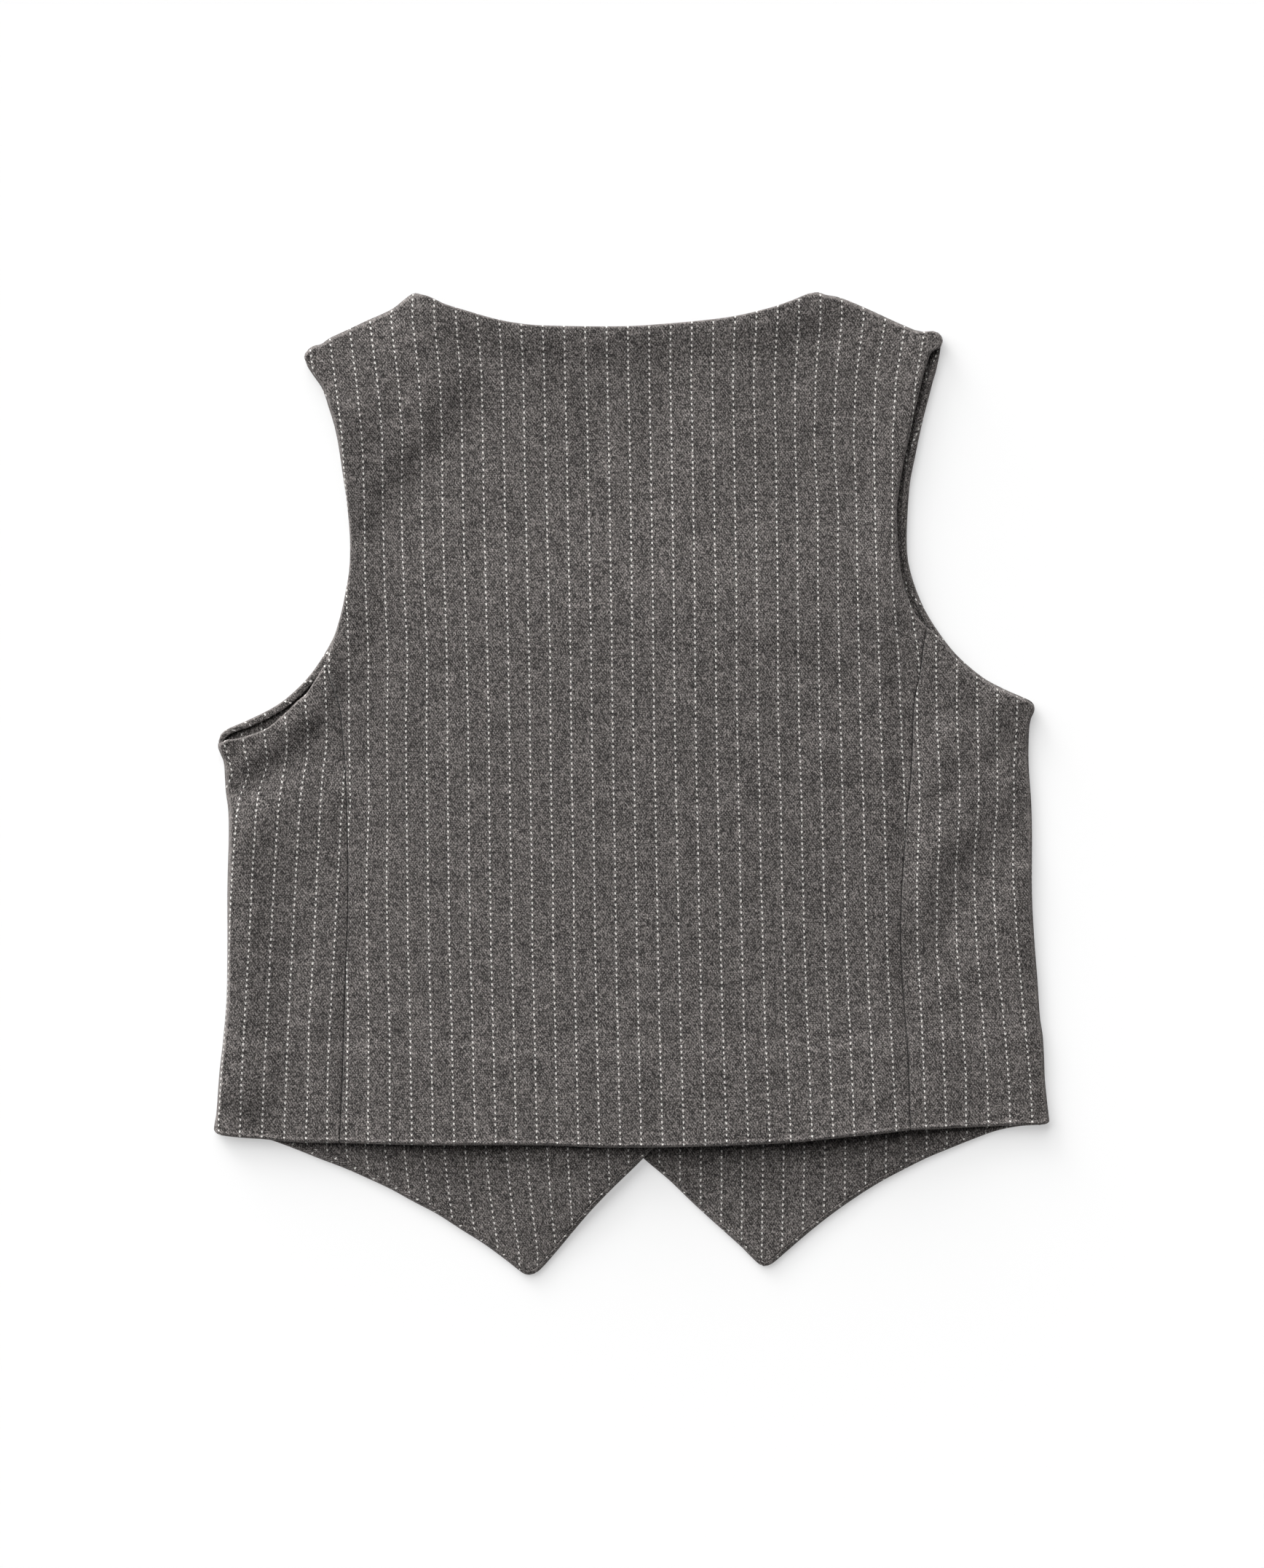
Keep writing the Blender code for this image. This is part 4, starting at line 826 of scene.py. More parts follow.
class Sheet:
    """A sheet of cloth while it is made: a lattice, then rings extruded from its border."""

    def __init__(self, lattice, heights):
        self.rows, self.columns = lattice.shape[:2]
        self.mesh = bmesh.new()
        self.flat = self.mesh.verts.layers.float_vector.new("flat")
        # marks the rim rings, where the knit paints a highlight into the colour
        self.rim = self.mesh.verts.layers.float.new("rim")
        grid = bmesh.ops.create_grid(
            self.mesh, x_segments=self.columns - 1, y_segments=self.rows - 1, size=1.0
        )
        self.lattice = sorted(
            grid["verts"], key=lambda vert: (round(vert.co.y, 5), round(vert.co.x, 5))
        )
        points = np.dstack((lattice, heights)).reshape(-1, 3)
        self.move(self.lattice, points, lattice.reshape(-1, 2))

    def move(self, verts, points, flats):
        for vert, point, flat in zip(verts, points, flats):
            vert.co = point
            vert[self.flat] = (*flat, 0.0)

    def line(self, places):
        return [self.lattice[row * self.columns + column] for row, column in places]

    def extrude(self, line, points, flats, closed=False):
        followers = line[1:] + line[:1] if closed else line[1:]
        edges = [self.mesh.edges.get(pair) for pair in zip(line, followers)]
        made = bmesh.ops.extrude_edge_only(self.mesh, edges=edges)
        fresh = {vert for vert in made["geom"] if isinstance(vert, bmesh.types.BMVert)}
        moved = []
        for vert in line:
            for edge in vert.link_edges:
                if edge.other_vert(vert) in fresh:
                    moved.append(edge.other_vert(vert))
                    break
        self.move(moved, points, flats)
        return moved

    def rings(self, line, rings, rim, closed=False):
        """Extrude a line through rings and mark those that form its rim, for a painted highlight;
        return the lines.
        """
        lines = []
        for number, (points, flats) in enumerate(rings):
            line = self.extrude(line, points, flats, closed)
            for vert in line:
                vert[self.rim] = float(number in rim)
            lines.append(line)
        return lines

    def draw_into_seam(self, line, targets, normals):
        """Draw a line of points down into the seam that runs beside it."""
        start = np.array([vert.co[:] for vert in line])
        flats = np.array([vert[self.flat][:2] for vert in line])
        outward = targets - start[:, :2]
        for share, depth in SEAM_DRAW:
            points = start - normals * depth
            points[:, :2] += outward * share
            line = self.extrude(line, points, flats + outward * share)

    def finish(self, name, stripes, face_up, side, material):
        """Turn the sheet to its side, lay its stripes out and give it the wall of the cloth."""
        flip = Vector((-side, 1.0, 1.0))
        for vert in self.mesh.verts:
            vert.co = vert.co * flip * MM
            vert[self.flat] = vert[self.flat] * flip
        if not face_up:
            bmesh.ops.reverse_faces(self.mesh, faces=self.mesh.faces)
        data = bpy.data.meshes.new(name)
        self.mesh.to_mesh(data)
        self.mesh.free()
        flat = np.empty(3 * len(data.vertices), np.float32)
        data.attributes["flat"].data.foreach_get("vector", flat)
        x, y = flat.reshape(-1, 3)[:, :2].T
        across, along = stripes(x, y)
        corners = np.empty(len(data.loops), np.int32)
        data.loops.foreach_get("vertex_index", corners)
        places = np.column_stack((across, along))[corners] * MM
        data.uv_layers.new(name="cloth").data.foreach_set("uv", places.astype(np.float32).ravel())
        data.attributes.remove(data.attributes["flat"])
        data.shade_smooth()
        data.materials.append(material)
        piece = bpy.data.objects.new(name, data)
        bpy.context.scene.collection.objects.link(piece)
        wall = piece.modifiers.new("cloth", "SOLIDIFY")
        wall.thickness = CLOTH * MM
        wall.offset = -1.0
        wall.use_quality_normals = True
        return piece


def seam_ends(edge, lines, number, corner, target):
    """Vertices, targets and normals where the rings of an edge end at a seam.

    The edge point with the given number is the one beside the seam, `corner` is the outer end
    of the seam and `target` its point beside the lattice.
    """
    verts, targets, normals = [], [], []
    for line, bend in zip(lines, RING_BENDS + [-90.0] * (len(lines) - len(RING_BENDS))):
        vert = line[number]
        place = np.array(vert.co[:2])
        share = np.linalg.norm(place - edge.outer[number]) / edge.reach[number]
        verts.append(vert)
        targets.append(corner + (target - corner) * share)
        angle = math.radians(bend)
        normals.append((*(-edge.inward[number] * math.cos(angle)), math.sin(angle)))
    return verts, targets, normals


def draw_seam(sheet, upper, column_verts, column_targets, lower):
    """Draw the whole side of a sheet into a seam: a hem end, the lattice, and an upper end."""
    lower_verts, lower_targets, lower_normals = (part[::-1] for part in lower)
    upper_verts, upper_targets, upper_normals = upper
    upright = [(0.0, 0.0, 1.0)] * len(column_verts)
    sheet.draw_into_seam(
        lower_verts + column_verts + upper_verts,
        np.array(lower_targets + list(column_targets) + upper_targets),
        np.array(lower_normals + upright + upper_normals),
    )


def seam_lines(seam, margin, cells):
    """Lattice side along a seam and the seam's own points, from the hem upwards."""
    upward = curve_through(seam)[::-1]
    length = lengths_along(upward)[-1]
    targets = points_at(upward, np.linspace(BORDER, length - SEAM_START, cells + 1))
    return beside(targets, margin), targets


def extend_hem(sheet, line, edge, first, last, height):
    """Continue the turned-up hem inside the back, from the last ring of its edge."""
    part = slice(first, last)
    line = line[part]
    lines = []
    flats = np.array([vert[sheet.flat][:2] for vert in line])
    before = EDGE_TURNING + TURN_RADIUS
    for distance in HEM_RETURN:
        places = edge.inside(distance, limited=False)
        ring = np.column_stack((places, height(*places.T)))
        flats = flats - edge.inward[part] * (distance - before)
        line = sheet.extrude(line, ring[part], flats)
        before = distance
        lines.append(line)
    return lines


def back_panel(material):
    """Centre of the back, between the two seams, from the hem to the neck."""
    left_side, left_targets = seam_lines(LEFT["seam"], -SEAM_MARGIN, SEAM_CELLS)
    right_side, right_targets = seam_lines(RIGHT["seam"], SEAM_MARGIN, SEAM_CELLS)
    left_tip, left_neck, right_tip, right_neck = (
        np.array(body["corners"][corner]) for body in (LEFT, RIGHT) for corner in ("tip", "neck")
    )
    right_armhole = trimmed(curve_through(RIGHT["back_armhole"])[::-1], SEAM_MARGIN, 0.0)
    left_armhole = trimmed(curve_through(LEFT["back_armhole"]), 0.0, SEAM_MARGIN)
    right_shoulder = curve_through(RIGHT["shoulder"])
    left_shoulder = curve_through(LEFT["shoulder"])[::-1]
    top_edge = Edge([stretch(*parts, CROWDING) for parts in (
        ("armhole", right_armhole, right_side[-1], right_tip, ARMHOLE_CELLS),
        ("shoulder", right_shoulder, right_tip, right_neck, SHOULDER_CELLS),
        ("neckline", curve_through(NECKLINE), right_neck, left_neck, NECKLINE_CELLS),
        ("shoulder", left_shoulder, left_neck, left_tip, SHOULDER_CELLS),
        ("armhole", left_armhole, left_tip, left_side[-1], ARMHOLE_CELLS),
    )])
    hem = curve_through(HEM, HEM_SEAM_LEFT, HEM_SEAM_RIGHT)
    hem = trimmed(hem, SEAM_MARGIN, SEAM_MARGIN)
    hem_cells = 2 * SHOULDER_CELLS + NECKLINE_CELLS
    hem_edge = Edge([stretch("hem", hem, left_side[0], right_side[0], hem_cells, 0.0)])

    inner = top_edge.inner
    right = np.vstack((right_side, inner[1:ARMHOLE_CELLS + 1]))
    left = np.vstack((left_side, inner[::-1][1:ARMHOLE_CELLS + 1]))
    top = inner[ARMHOLE_CELLS:len(inner) - ARMHOLE_CELLS][::-1]
    lattice = patch(hem_edge.inner, top, left, right)
    sheet = Sheet(lattice, back_face(lattice[:, :, 0], lattice[:, :, 1]))

    last_row, last_column = lattice.shape[0] - 1, lattice.shape[1] - 1
    places = walk(
        (SEAM_CELLS, last_column), (last_row, last_column), (last_row, 0), (SEAM_CELLS, 0)
    )
    rings = back_rings(top_edge, back_height, back_face)
    top_lines = sheet.rings(sheet.line(places), rings, BACK_HIGHLIGHT_RINGS)
    rings = back_rings(hem_edge, back_height, back_face)
    hem_lines = sheet.rings(sheet.line(walk((0, 0), (0, last_column))), rings, BACK_HIGHLIGHT_RINGS)
    hem_lines += extend_hem(sheet, hem_lines[-1], hem_edge, 0, last_column + 1, back_height)
    for body, targets, column, top_end in (
        (RIGHT, right_targets, last_column, 0), (LEFT, left_targets, 0, len(places) - 1)
    ):
        seam = curve_through(body["seam"])
        draw_seam(
            sheet,
            seam_ends(top_edge, top_lines, top_end, seam[0], targets[-1]),
            sheet.line(walk((0, column), (SEAM_CELLS, column))), targets,
            seam_ends(hem_edge, hem_lines, column, seam[-1], targets[0]),
        )
    return sheet.finish("back_cloth", stripe_map(BACK_STRIPES), True, -1, material)


def side_panel(body, stripes, material):
    """Side of the back, between the seam, the armhole, the side edge and the hem."""
    side = body["side"]

    def height(x, y):
        return back_height(-side * x, y)

    def face(x, y):
        return back_face(-side * x, y)

    corners = {key: mirrored(place, side) for key, place in body["corners"].items()}
    seam = mirrored(body["seam"], side)
    seam_side, targets = seam_lines(seam, SEAM_MARGIN, SIDE_PANEL_ROWS)
    armhole = trimmed(curve_through(mirrored(body["side_armhole"], side)), SEAM_MARGIN, 0.0)
    side_line = curve_through(mirrored(body["side_line"], side))
    if side < 0:
        hem = curve_through(HEM, 0, HEM_SEAM_LEFT)
    else:
        hem = mirrored(curve_through(HEM, HEM_SEAM_RIGHT, len(HEM) - 1), side)[::-1]
    hem = trimmed(hem, 0.0, SEAM_MARGIN)
    edge = Edge([stretch(*parts, SIDE_CROWDING) for parts in (
        ("armhole", armhole, seam_side[-1], corners["armpit"], SIDE_PANEL_CELLS),
        ("side_line", side_line, corners["armpit"], corners["hem"], SIDE_PANEL_ROWS),
        ("hem", hem, corners["hem"], seam_side[0], SIDE_PANEL_CELLS),
    )])
    inner = edge.inner
    last_row, last_column = SIDE_PANEL_ROWS, SIDE_PANEL_CELLS
    top = inner[:last_column + 1][::-1]
    left = inner[last_column:last_column + last_row + 1][::-1]
    lattice = patch(inner[last_column + last_row:], top, left, seam_side)
    sheet = Sheet(lattice, face(lattice[:, :, 0], lattice[:, :, 1]))

    places = walk((last_row, last_column), (last_row, 0), (0, 0), (0, last_column))
    lines = sheet.rings(sheet.line(places), back_rings(edge, height, face), BACK_HIGHLIGHT_RINGS)
    along = edge.along()
    hem_start = along[last_column + last_row] + HEM_RETURN_CORNER
    first = int(np.searchsorted(along, hem_start))
    hem_lines = extend_hem(sheet, lines[-1], edge, first, len(places), height)
    draw_seam(
        sheet,
        seam_ends(edge, lines, 0, np.array(seam[0]), targets[-1]),
        sheet.line(walk((0, last_column), (last_row, last_column))), targets,
        seam_ends(edge, lines + [[line[-1]] * len(places) for line in hem_lines],
                  len(places) - 1, np.array(seam[-1]), targets[0]),
    )
    name = f"side_back_{body['name']}_cloth"
    return sheet.finish(name, stripe_map(stripes), side < 0, side, material)


def front_pieces(body, stripes, cloth, lining):
    """A front with its turned edges, and the lining that lies on it."""
    side = body["side"]

    def height(x, y):
        return front_height(-side * x, y, side)

    corners = {key: mirrored(place, side) for key, place in body["corners"].items()}
    order = (
        ("front_hem", "front_hem", "point"), ("cutaway", "point", "edge_low"),
        ("front_edge", "edge_low", "edge_top"), ("neck_edge", "edge_top", "front_neck"),
        ("shoulder", "front_neck", "front_tip"), ("front_armhole", "front_tip", "front_armpit"),
        ("front_side", "front_armpit", "front_hem"),
    )
    stretches = []
    for kind, start, end in order:
        curve = curve_through(mirrored(body[kind], side))
        if kind == "shoulder":
            curve = curve[::-1]
        if kind == "front_armhole":
            curve[0] = stretches[-1][1][-1]
        stretches.append(
            stretch(kind, curve, corners[start], corners[end], FRONT_CELLS[kind], CROWDING)
        )
    edge = Edge(stretches, closed=True)

    x, y = edge.outer[:, 0] * -side, edge.outer[:, 1]
    turning = np.full(len(x), PLAIN_TURNING)
    for kind, position, key in (
        ("front_hem", x, "hem_turning"), ("front_armhole", y, "armhole_turning")
    ):
        full, plain, width = body[key]
        share = edge.near((kind,), TURNING_RUN) * (1.0 - smooth_step(position, full, plain))
        turning += (width - PLAIN_TURNING) * share

    low, plain, full, high = body["armhole_lip"]
    lip = low + (high - low) * (1.0 - smooth_step(y, full, plain))
    lip = lip * edge.near(("front_armhole",), LIP_RUN)

    inner = edge.inner
    columns = FRONT_CELLS["front_hem"]
    rows = FRONT_CELLS["cutaway"] + FRONT_CELLS["front_edge"]
    bottom = inner[:columns + 1]
    right = inner[columns:columns + rows + 1]
    top = inner[columns + rows:2 * columns + rows + 1][::-1]
    left = np.vstack((inner[2 * columns + rows:], inner[:1]))[::-1]
    lattice = relaxed(patch(bottom, top, left, right), RELAXING_ROUNDS)
    heights = height(lattice[:, :, 0], lattice[:, :, 1])
    places = walk((0, 0), (0, columns), (rows, columns), (rows, 0), (0, 0))[:-1]

    pieces = []
    for kind, level, rings, rim, material in (
        ("front", 0.0, front_rings(edge, height, turning, lip), FRONT_HIGHLIGHT_RINGS, cloth),
        ("front_lining", FRONT_HEIGHT, lining_rings(edge, height, turning), (), lining),
    ):
        sheet = Sheet(lattice, heights + level)
        sheet.rings(sheet.line(places), rings, rim, closed=True)
        face_up = (side < 0) == (kind == "front_lining")
        name = f"{kind}_{body['name']}_cloth"
        pieces.append(sheet.finish(name, stripe_map(stripes), face_up, side, material))
    return pieces


# ---------------------------------------------------------------- finishes

class Wire:
    """Output of a node, so that shader maths is written as Python expressions."""

    def __init__(self, finish, socket):
        self.finish = finish
        self.socket = socket

    def __add__(self, other):
        return self.finish.math("ADD", self, other)

    def __sub__(self, other):
        return self.finish.math("SUBTRACT", self, other)

    def __rsub__(self, other):
        return self.finish.math("SUBTRACT", other, self)

    def __mul__(self, other):
        return self.finish.math("MULTIPLY", self, other)

    def __truediv__(self, other):
        return self.finish.math("DIVIDE", self, other)

    def __rtruediv__(self, other):
        return self.finish.math("DIVIDE", other, self)

    __radd__ = __add__
    __rmul__ = __mul__


class Finish:
    """A procedural material while its nodes are laid out."""

    def __init__(self, name, **constants):
        self.material = bpy.data.materials.new(name)
        self.material.use_nodes = True
        self.tree = self.material.node_tree
        self.shader = self.tree.nodes["Principled BSDF"]
        for socket, value in constants.items():
            self.shader.inputs[socket.replace("_", " ")].default_value = value

    def node(self, kind, settings=None, inputs=None, output=0):
        """Add a node: its settings first, then the values or links of its sockets."""
        node = self.tree.nodes.new(kind)
        for setting, value in (settings or {}).items():
            setattr(node, setting, value)
        for socket, value in (inputs or {}).items():
            if isinstance(value, Wire):
                self.tree.links.new(value.socket, node.inputs[socket])
            else:
                node.inputs[socket].default_value = value
        return Wire(self, node.outputs[output])

    def parts(self, place):
        """The three parts of a vector."""
        split = self.tree.nodes.new("ShaderNodeSeparateXYZ")
        self.tree.links.new(place.socket, split.inputs[0])
        return [Wire(self, part) for part in split.outputs]

    def object_place(self):
        return self.node("ShaderNodeTexCoord", None, None, 3)

    def math(self, operation, *values):
        return self.node("ShaderNodeMath", {"operation": operation}, dict(enumerate(values)))

    def limited(self, value, low, high):
        return self.math("MINIMUM", self.math("MAXIMUM", value, low), high)

    def ramp(self, value, low, high):
        """0 at low, 1 at high, smooth between them."""
        settings = {"interpolation_type": "SMOOTHSTEP"}
        inputs = {"Value": value, "From Min": low, "From Max": high}
        return self.node("ShaderNodeMapRange", settings, inputs)

    def vector(self, *parts):
        return self.node("ShaderNodeCombineXYZ", None, dict(enumerate(parts)))

    def noise(self, place, detail, roughness=0.5, scale=1.0):
        """Noise from 0 to 1, over features of one unit divided by the scale."""
        inputs = {"Vector": place, "Scale": scale, "Detail": detail, "Roughness": roughness}
        return self.node("ShaderNodeTexNoise", {"noise_dimensions": "3D"}, inputs)

    def scatter(self, place):
        """A random number about 0 for each place."""
        settings = {"noise_dimensions": "3D"}
        return self.node("ShaderNodeTexWhiteNoise", settings, {"Vector": place}) - 0.5

    def blend(self, share, first, second):
        settings = {"data_type": "RGBA", "blend_type": "MIX"}
        inputs = {0: share, 6: (*first, 1.0) if isinstance(first, tuple) else first,
                  7: (*second, 1.0) if isinstance(second, tuple) else second}
        return self.node("ShaderNodeMix", settings, inputs, 2)

    def set(self, socket, wire):
        self.tree.links.new(wire.socket, self.shader.inputs[socket])

    def bump(self, height, strength, distance):
        inputs = {"Height": height, "Strength": strength, "Distance": distance}
        self.set("Normal", self.node("ShaderNodeBump", None, inputs))


# The double knit, in mm: a wale is the width of a stitch, a course its height
WALE = STRIPE_PITCH / 14
STITCH = 2.24                          # from one stripe stitch to the next
COURSE = STITCH / 3
DARK_YARN = (0.020, 0.0182, 0.0176)
LIGHT_YARN = (0.40, 0.366, 0.350)
STRIPE_YARN = (0.94, 0.92, 0.88)
LINING_PAINTED_SHADE = 0.94                     # the lining is painted this much darker, as shade where it lies lower than the back
LIGHT_SHARE = 0.401                    # of the light yarn in the heather
RIM_PAINTED_HIGHLIGHT = 0.19                     # share of light yarn painted onto the rims, as a highlight
RIM_EVENER = 0.5                       # how much less it varies there
DRIFT = (9.0, 0.35, 0.5)               # waver of the stitches: its size, then across and along
WAVES = (
    # the stitches as waves: period across, period along, weight; 0 is no wave that way
    (2 * WALE, 2 * COURSE, 1.0), (2 * WALE, -2 * COURSE, 0.5), (WALE, COURSE, 0.5),
    (WALE, -COURSE, 0.4), (0, COURSE, 0.4), (WALE, 0, 0.35),
)
ARM_LEAN = 1.1
STREAK_SIZE = (3.6, 0.9)
CLOUD_SIZE = (11.0, 6.0)

# One stripe stitch: offsets from the middle of the stripe in mm, heights in shares of a stitch
STRIPE_SHIFT = 0.16
STRIPE_STITCH_HEIGHT = 1.28
STRIPE_LEAN = 0.30
STRIPE_ARM = (0.06, 0.22)
STRIPE_FOOT = (-0.02, 0.16)
STRIPE_HEAD = (0.66, 0.92)
STRIPE_SHADED_ARM = (-0.05, 0.20)


def knit(name, painted_shade_factor):
    """Heather double knit with a pinstripe of single pale stitches."""
    finish = Finish(name, Roughness=0.94, Specular_IOR_Level=0.25, Sheen_Weight=0.22,
                    Sheen_Roughness=0.3)
    across, along, _ = finish.parts(finish.node("ShaderNodeUVMap", {"uv_map": "cloth"}))
    across, along = across * 1000.0, along * 1000.0
    size, drift_across, drift_along = DRIFT
    drift = finish.noise(finish.vector(across / size, along / size, 0.0), 1.0) - 0.5
    across = across + drift * drift_across
    along = along + drift * drift_along

    def wave(period_across, period_along):
        turns = across * (math.tau / period_across) if period_across else 0.0
        if period_along:
            turns = along * (math.tau / period_along) + turns
        return finish.math("COSINE", turns)

    stitches = 0.0
    for period_across, period_along, weight in WAVES:
        stitches = wave(period_across, period_along) * weight + stitches

    # each stitch has two arms, which lean towards each other downwards
    leaning = finish.math("PINGPONG", across, WALE / 2)
    arm = finish.vector(
        finish.math("FLOOR", across / (WALE / 2)),
        finish.math("FLOOR", (along - leaning * ARM_LEAN) / COURSE * 2.0), 3.0,
    )
    cell = finish.vector(
        finish.math("FLOOR", across / WALE), finish.math("FLOOR", along / COURSE), 5.0
    )
    speckle = finish.scatter(cell)
    fibre = finish.scatter(arm)
    streak_place = finish.vector(across / STREAK_SIZE[0], along / STREAK_SIZE[1], 5.0)
    streak = finish.noise(streak_place, 3.0, 0.65) - 0.5
    cloud_place = finish.vector(across / CLOUD_SIZE[0], along / CLOUD_SIZE[1], 9.0)
    cloud = finish.noise(cloud_place, 1.0) - 0.5
    # 1 on the rim rings: there more light yarn is painted in, as a highlight, and the grain is
    #                     evened
    rim = finish.node("ShaderNodeAttribute", {"attribute_name": "rim"}, None, 2)
    grain = stitches * 0.085 + speckle * 0.28 + fibre * 0.76 + streak * 0.56 + cloud * 0.26
    light = grain * (1.0 - rim * RIM_EVENER) + rim * RIM_PAINTED_HIGHLIGHT + LIGHT_SHARE
    light = finish.limited(light, 0.05, 1.0)

    # a stripe stitch has two arms too, and the one past the stripe's middle is painted dimmer, as
    # shade
    stripe = finish.math("FLOOR", across / STRIPE_PITCH + 0.5)
    offset = across - stripe * STRIPE_PITCH - STRIPE_SHIFT
    count = along / STITCH
    number = finish.math("FLOOR", count)
    up = (count - number) * (STITCH / STRIPE_STITCH_HEIGHT)
    from_middle = finish.math("ABSOLUTE", offset)
    from_arm = finish.math("ABSOLUTE", from_middle - up * STRIPE_LEAN)
    single = finish.scatter(finish.vector(stripe, number, 7.0))
    pale = (1.0 - finish.ramp(from_arm, *STRIPE_ARM)) * finish.ramp(up, *STRIPE_FOOT)
    pale = pale * (1.0 - finish.ramp(up, *STRIPE_HEAD)) * (single * 0.40 + 0.95)
    # painted shade: the arm past the middle keeps less of its pale yarn
    pale = pale * (1.0 - finish.ramp(offset, *STRIPE_SHADED_ARM) * (single * 0.6 + 0.30))
    pale = finish.limited(pale * (fibre * 0.35 + 0.95), 0.0, 1.0)

    # all yarns are darkened by the painted shade factor; only the lining has one below 1
    dark_yarn, light_yarn, stripe_yarn = (
        tuple(painted_shade_factor * part for part in yarn) for yarn in (DARK_YARN, LIGHT_YARN, STRIPE_YARN)
    )
    ground = finish.blend(light * light, dark_yarn, light_yarn)
    finish.set("Base Color", finish.blend(pale, ground, stripe_yarn))
    relief = stitches * 0.12 + fibre * 0.5 + speckle * 0.4 + pale * 1.2
    finish.bump(relief, 0.30, 0.00012)
    return finish.material


def button_finish():
    """Dark horn-like plastic with a soft gloss."""
    finish = Finish("button_plastic", Coat_Roughness=0.2, Specular_IOR_Level=0.5)
    place = finish.object_place()
    clouds = finish.noise(place, 4.0, scale=420.0)
    streaks = finish.noise(place, 2.0, scale=1900.0)
    share = finish.ramp(clouds * 0.75 + streaks * 0.25, 0.35, 0.68)
    finish.set("Base Color", finish.blend(share, (0.016, 0.013, 0.012), (0.060, 0.050, 0.044)))
    finish.set("Roughness", streaks * 0.18 + 0.24)
    finish.bump(streaks, 0.08, 0.0001)
    return finish.material


def thread_finish():
    """Twisted sewing thread in the colour of the cloth."""
    finish = Finish("sewing_thread", Roughness=0.7, Specular_IOR_Level=0.35)
    place = finish.object_place()
    x, y, z = finish.parts(place)
    twist = finish.math("SINE", (x + y + z) * (math.tau / THREAD_TWIST)) * 0.5 + 0.5
    share = twist * 0.6 + finish.noise(place, 1.0, scale=6000.0) * 0.4
    finish.set("Base Color", finish.blend(share, (0.020, 0.019, 0.018), (0.085, 0.080, 0.076)))
    finish.bump(share, 0.4, 0.00006)
    return finish.material


# ---------------------------------------------------------------- buttons

BUTTON_DISH_RADIUS = 4.9
BUTTON_DISH_DEPTH = 0.5
BUTTON_HOLE_RADIUS = 0.8
BUTTON_HOLE_REACH = 1.85
BUTTON_RIM = 0.55                      # width of the slope down into the dish
BUTTON_BACK = 2.2                      # from the edge to the ring on the back
BUTTON_ROUNDING = 0.45
THREAD_RADIUS = 0.2
THREAD_TWIST = 0.00035                 # in metres
THREAD_GAP = 0.24                      # of the two threads of a loop, from their middle
THREAD_LEVELS = (0.26, 0.42)           # of the two crossing loops, over the dish
# half a loop of thread, from the cloth to the middle: reach, height, and height over its level
THREAD_LOOP = (
    (1.85, 2.1, None), (1.8, 1.2, None), (1.72, 0.62, None), (1.45, None, 0.08),
    (0.8, None, -0.02), (0.0, None, -0.04),
)
SHANK_RADIUS = 0.62
SHANK_TURNS = 5
SHANK_STEPS = 60
SHANK_START = 1.98
SHANK_HEIGHT = 1.0
BUTTONHOLE_LENGTH = 16.0
BUTTONHOLE_START = 1.3                 # x of its end nearest the edge
BUTTONHOLE_HALF_WIDTH = 0.62
BUTTONHOLE_STITCH = 0.42
BUTTONHOLE_THREAD = 0.19
BUTTONHOLE_ENDS = range(-75, 76, 25)   # angles of the stitches round an end
# a stitch from the slit outwards: distance from it and height, then the height of its outer end
STITCH_START = ((0.08, 0.05), (0.34, -0.03))
STITCH_END_HEIGHT = 0.12
STITCH_WAVER = 0.06


def alone(thing):
    """Make an object the only selected one."""
    bpy.ops.object.select_all(action="DESELECT")
    thing.select_set(True)
    bpy.context.view_layer.objects.active = thing


def select_faces(thing, chosen):
    """In edit mode, select the faces that a test picks, and nothing else."""
    mesh = bmesh.from_edit_mesh(thing.data)
    bpy.ops.mesh.select_all(action="DESELECT")
    for face in mesh.faces:
        face.select_set(chosen(face))
    bmesh.update_edit_mesh(thing.data)


def apply_all(thing):
    alone(thing)
    for modifier in list(thing.modifiers):
        bpy.ops.object.modifier_apply(modifier=modifier.name)
    bpy.ops.object.transform_apply(location=True, rotation=True, scale=True)


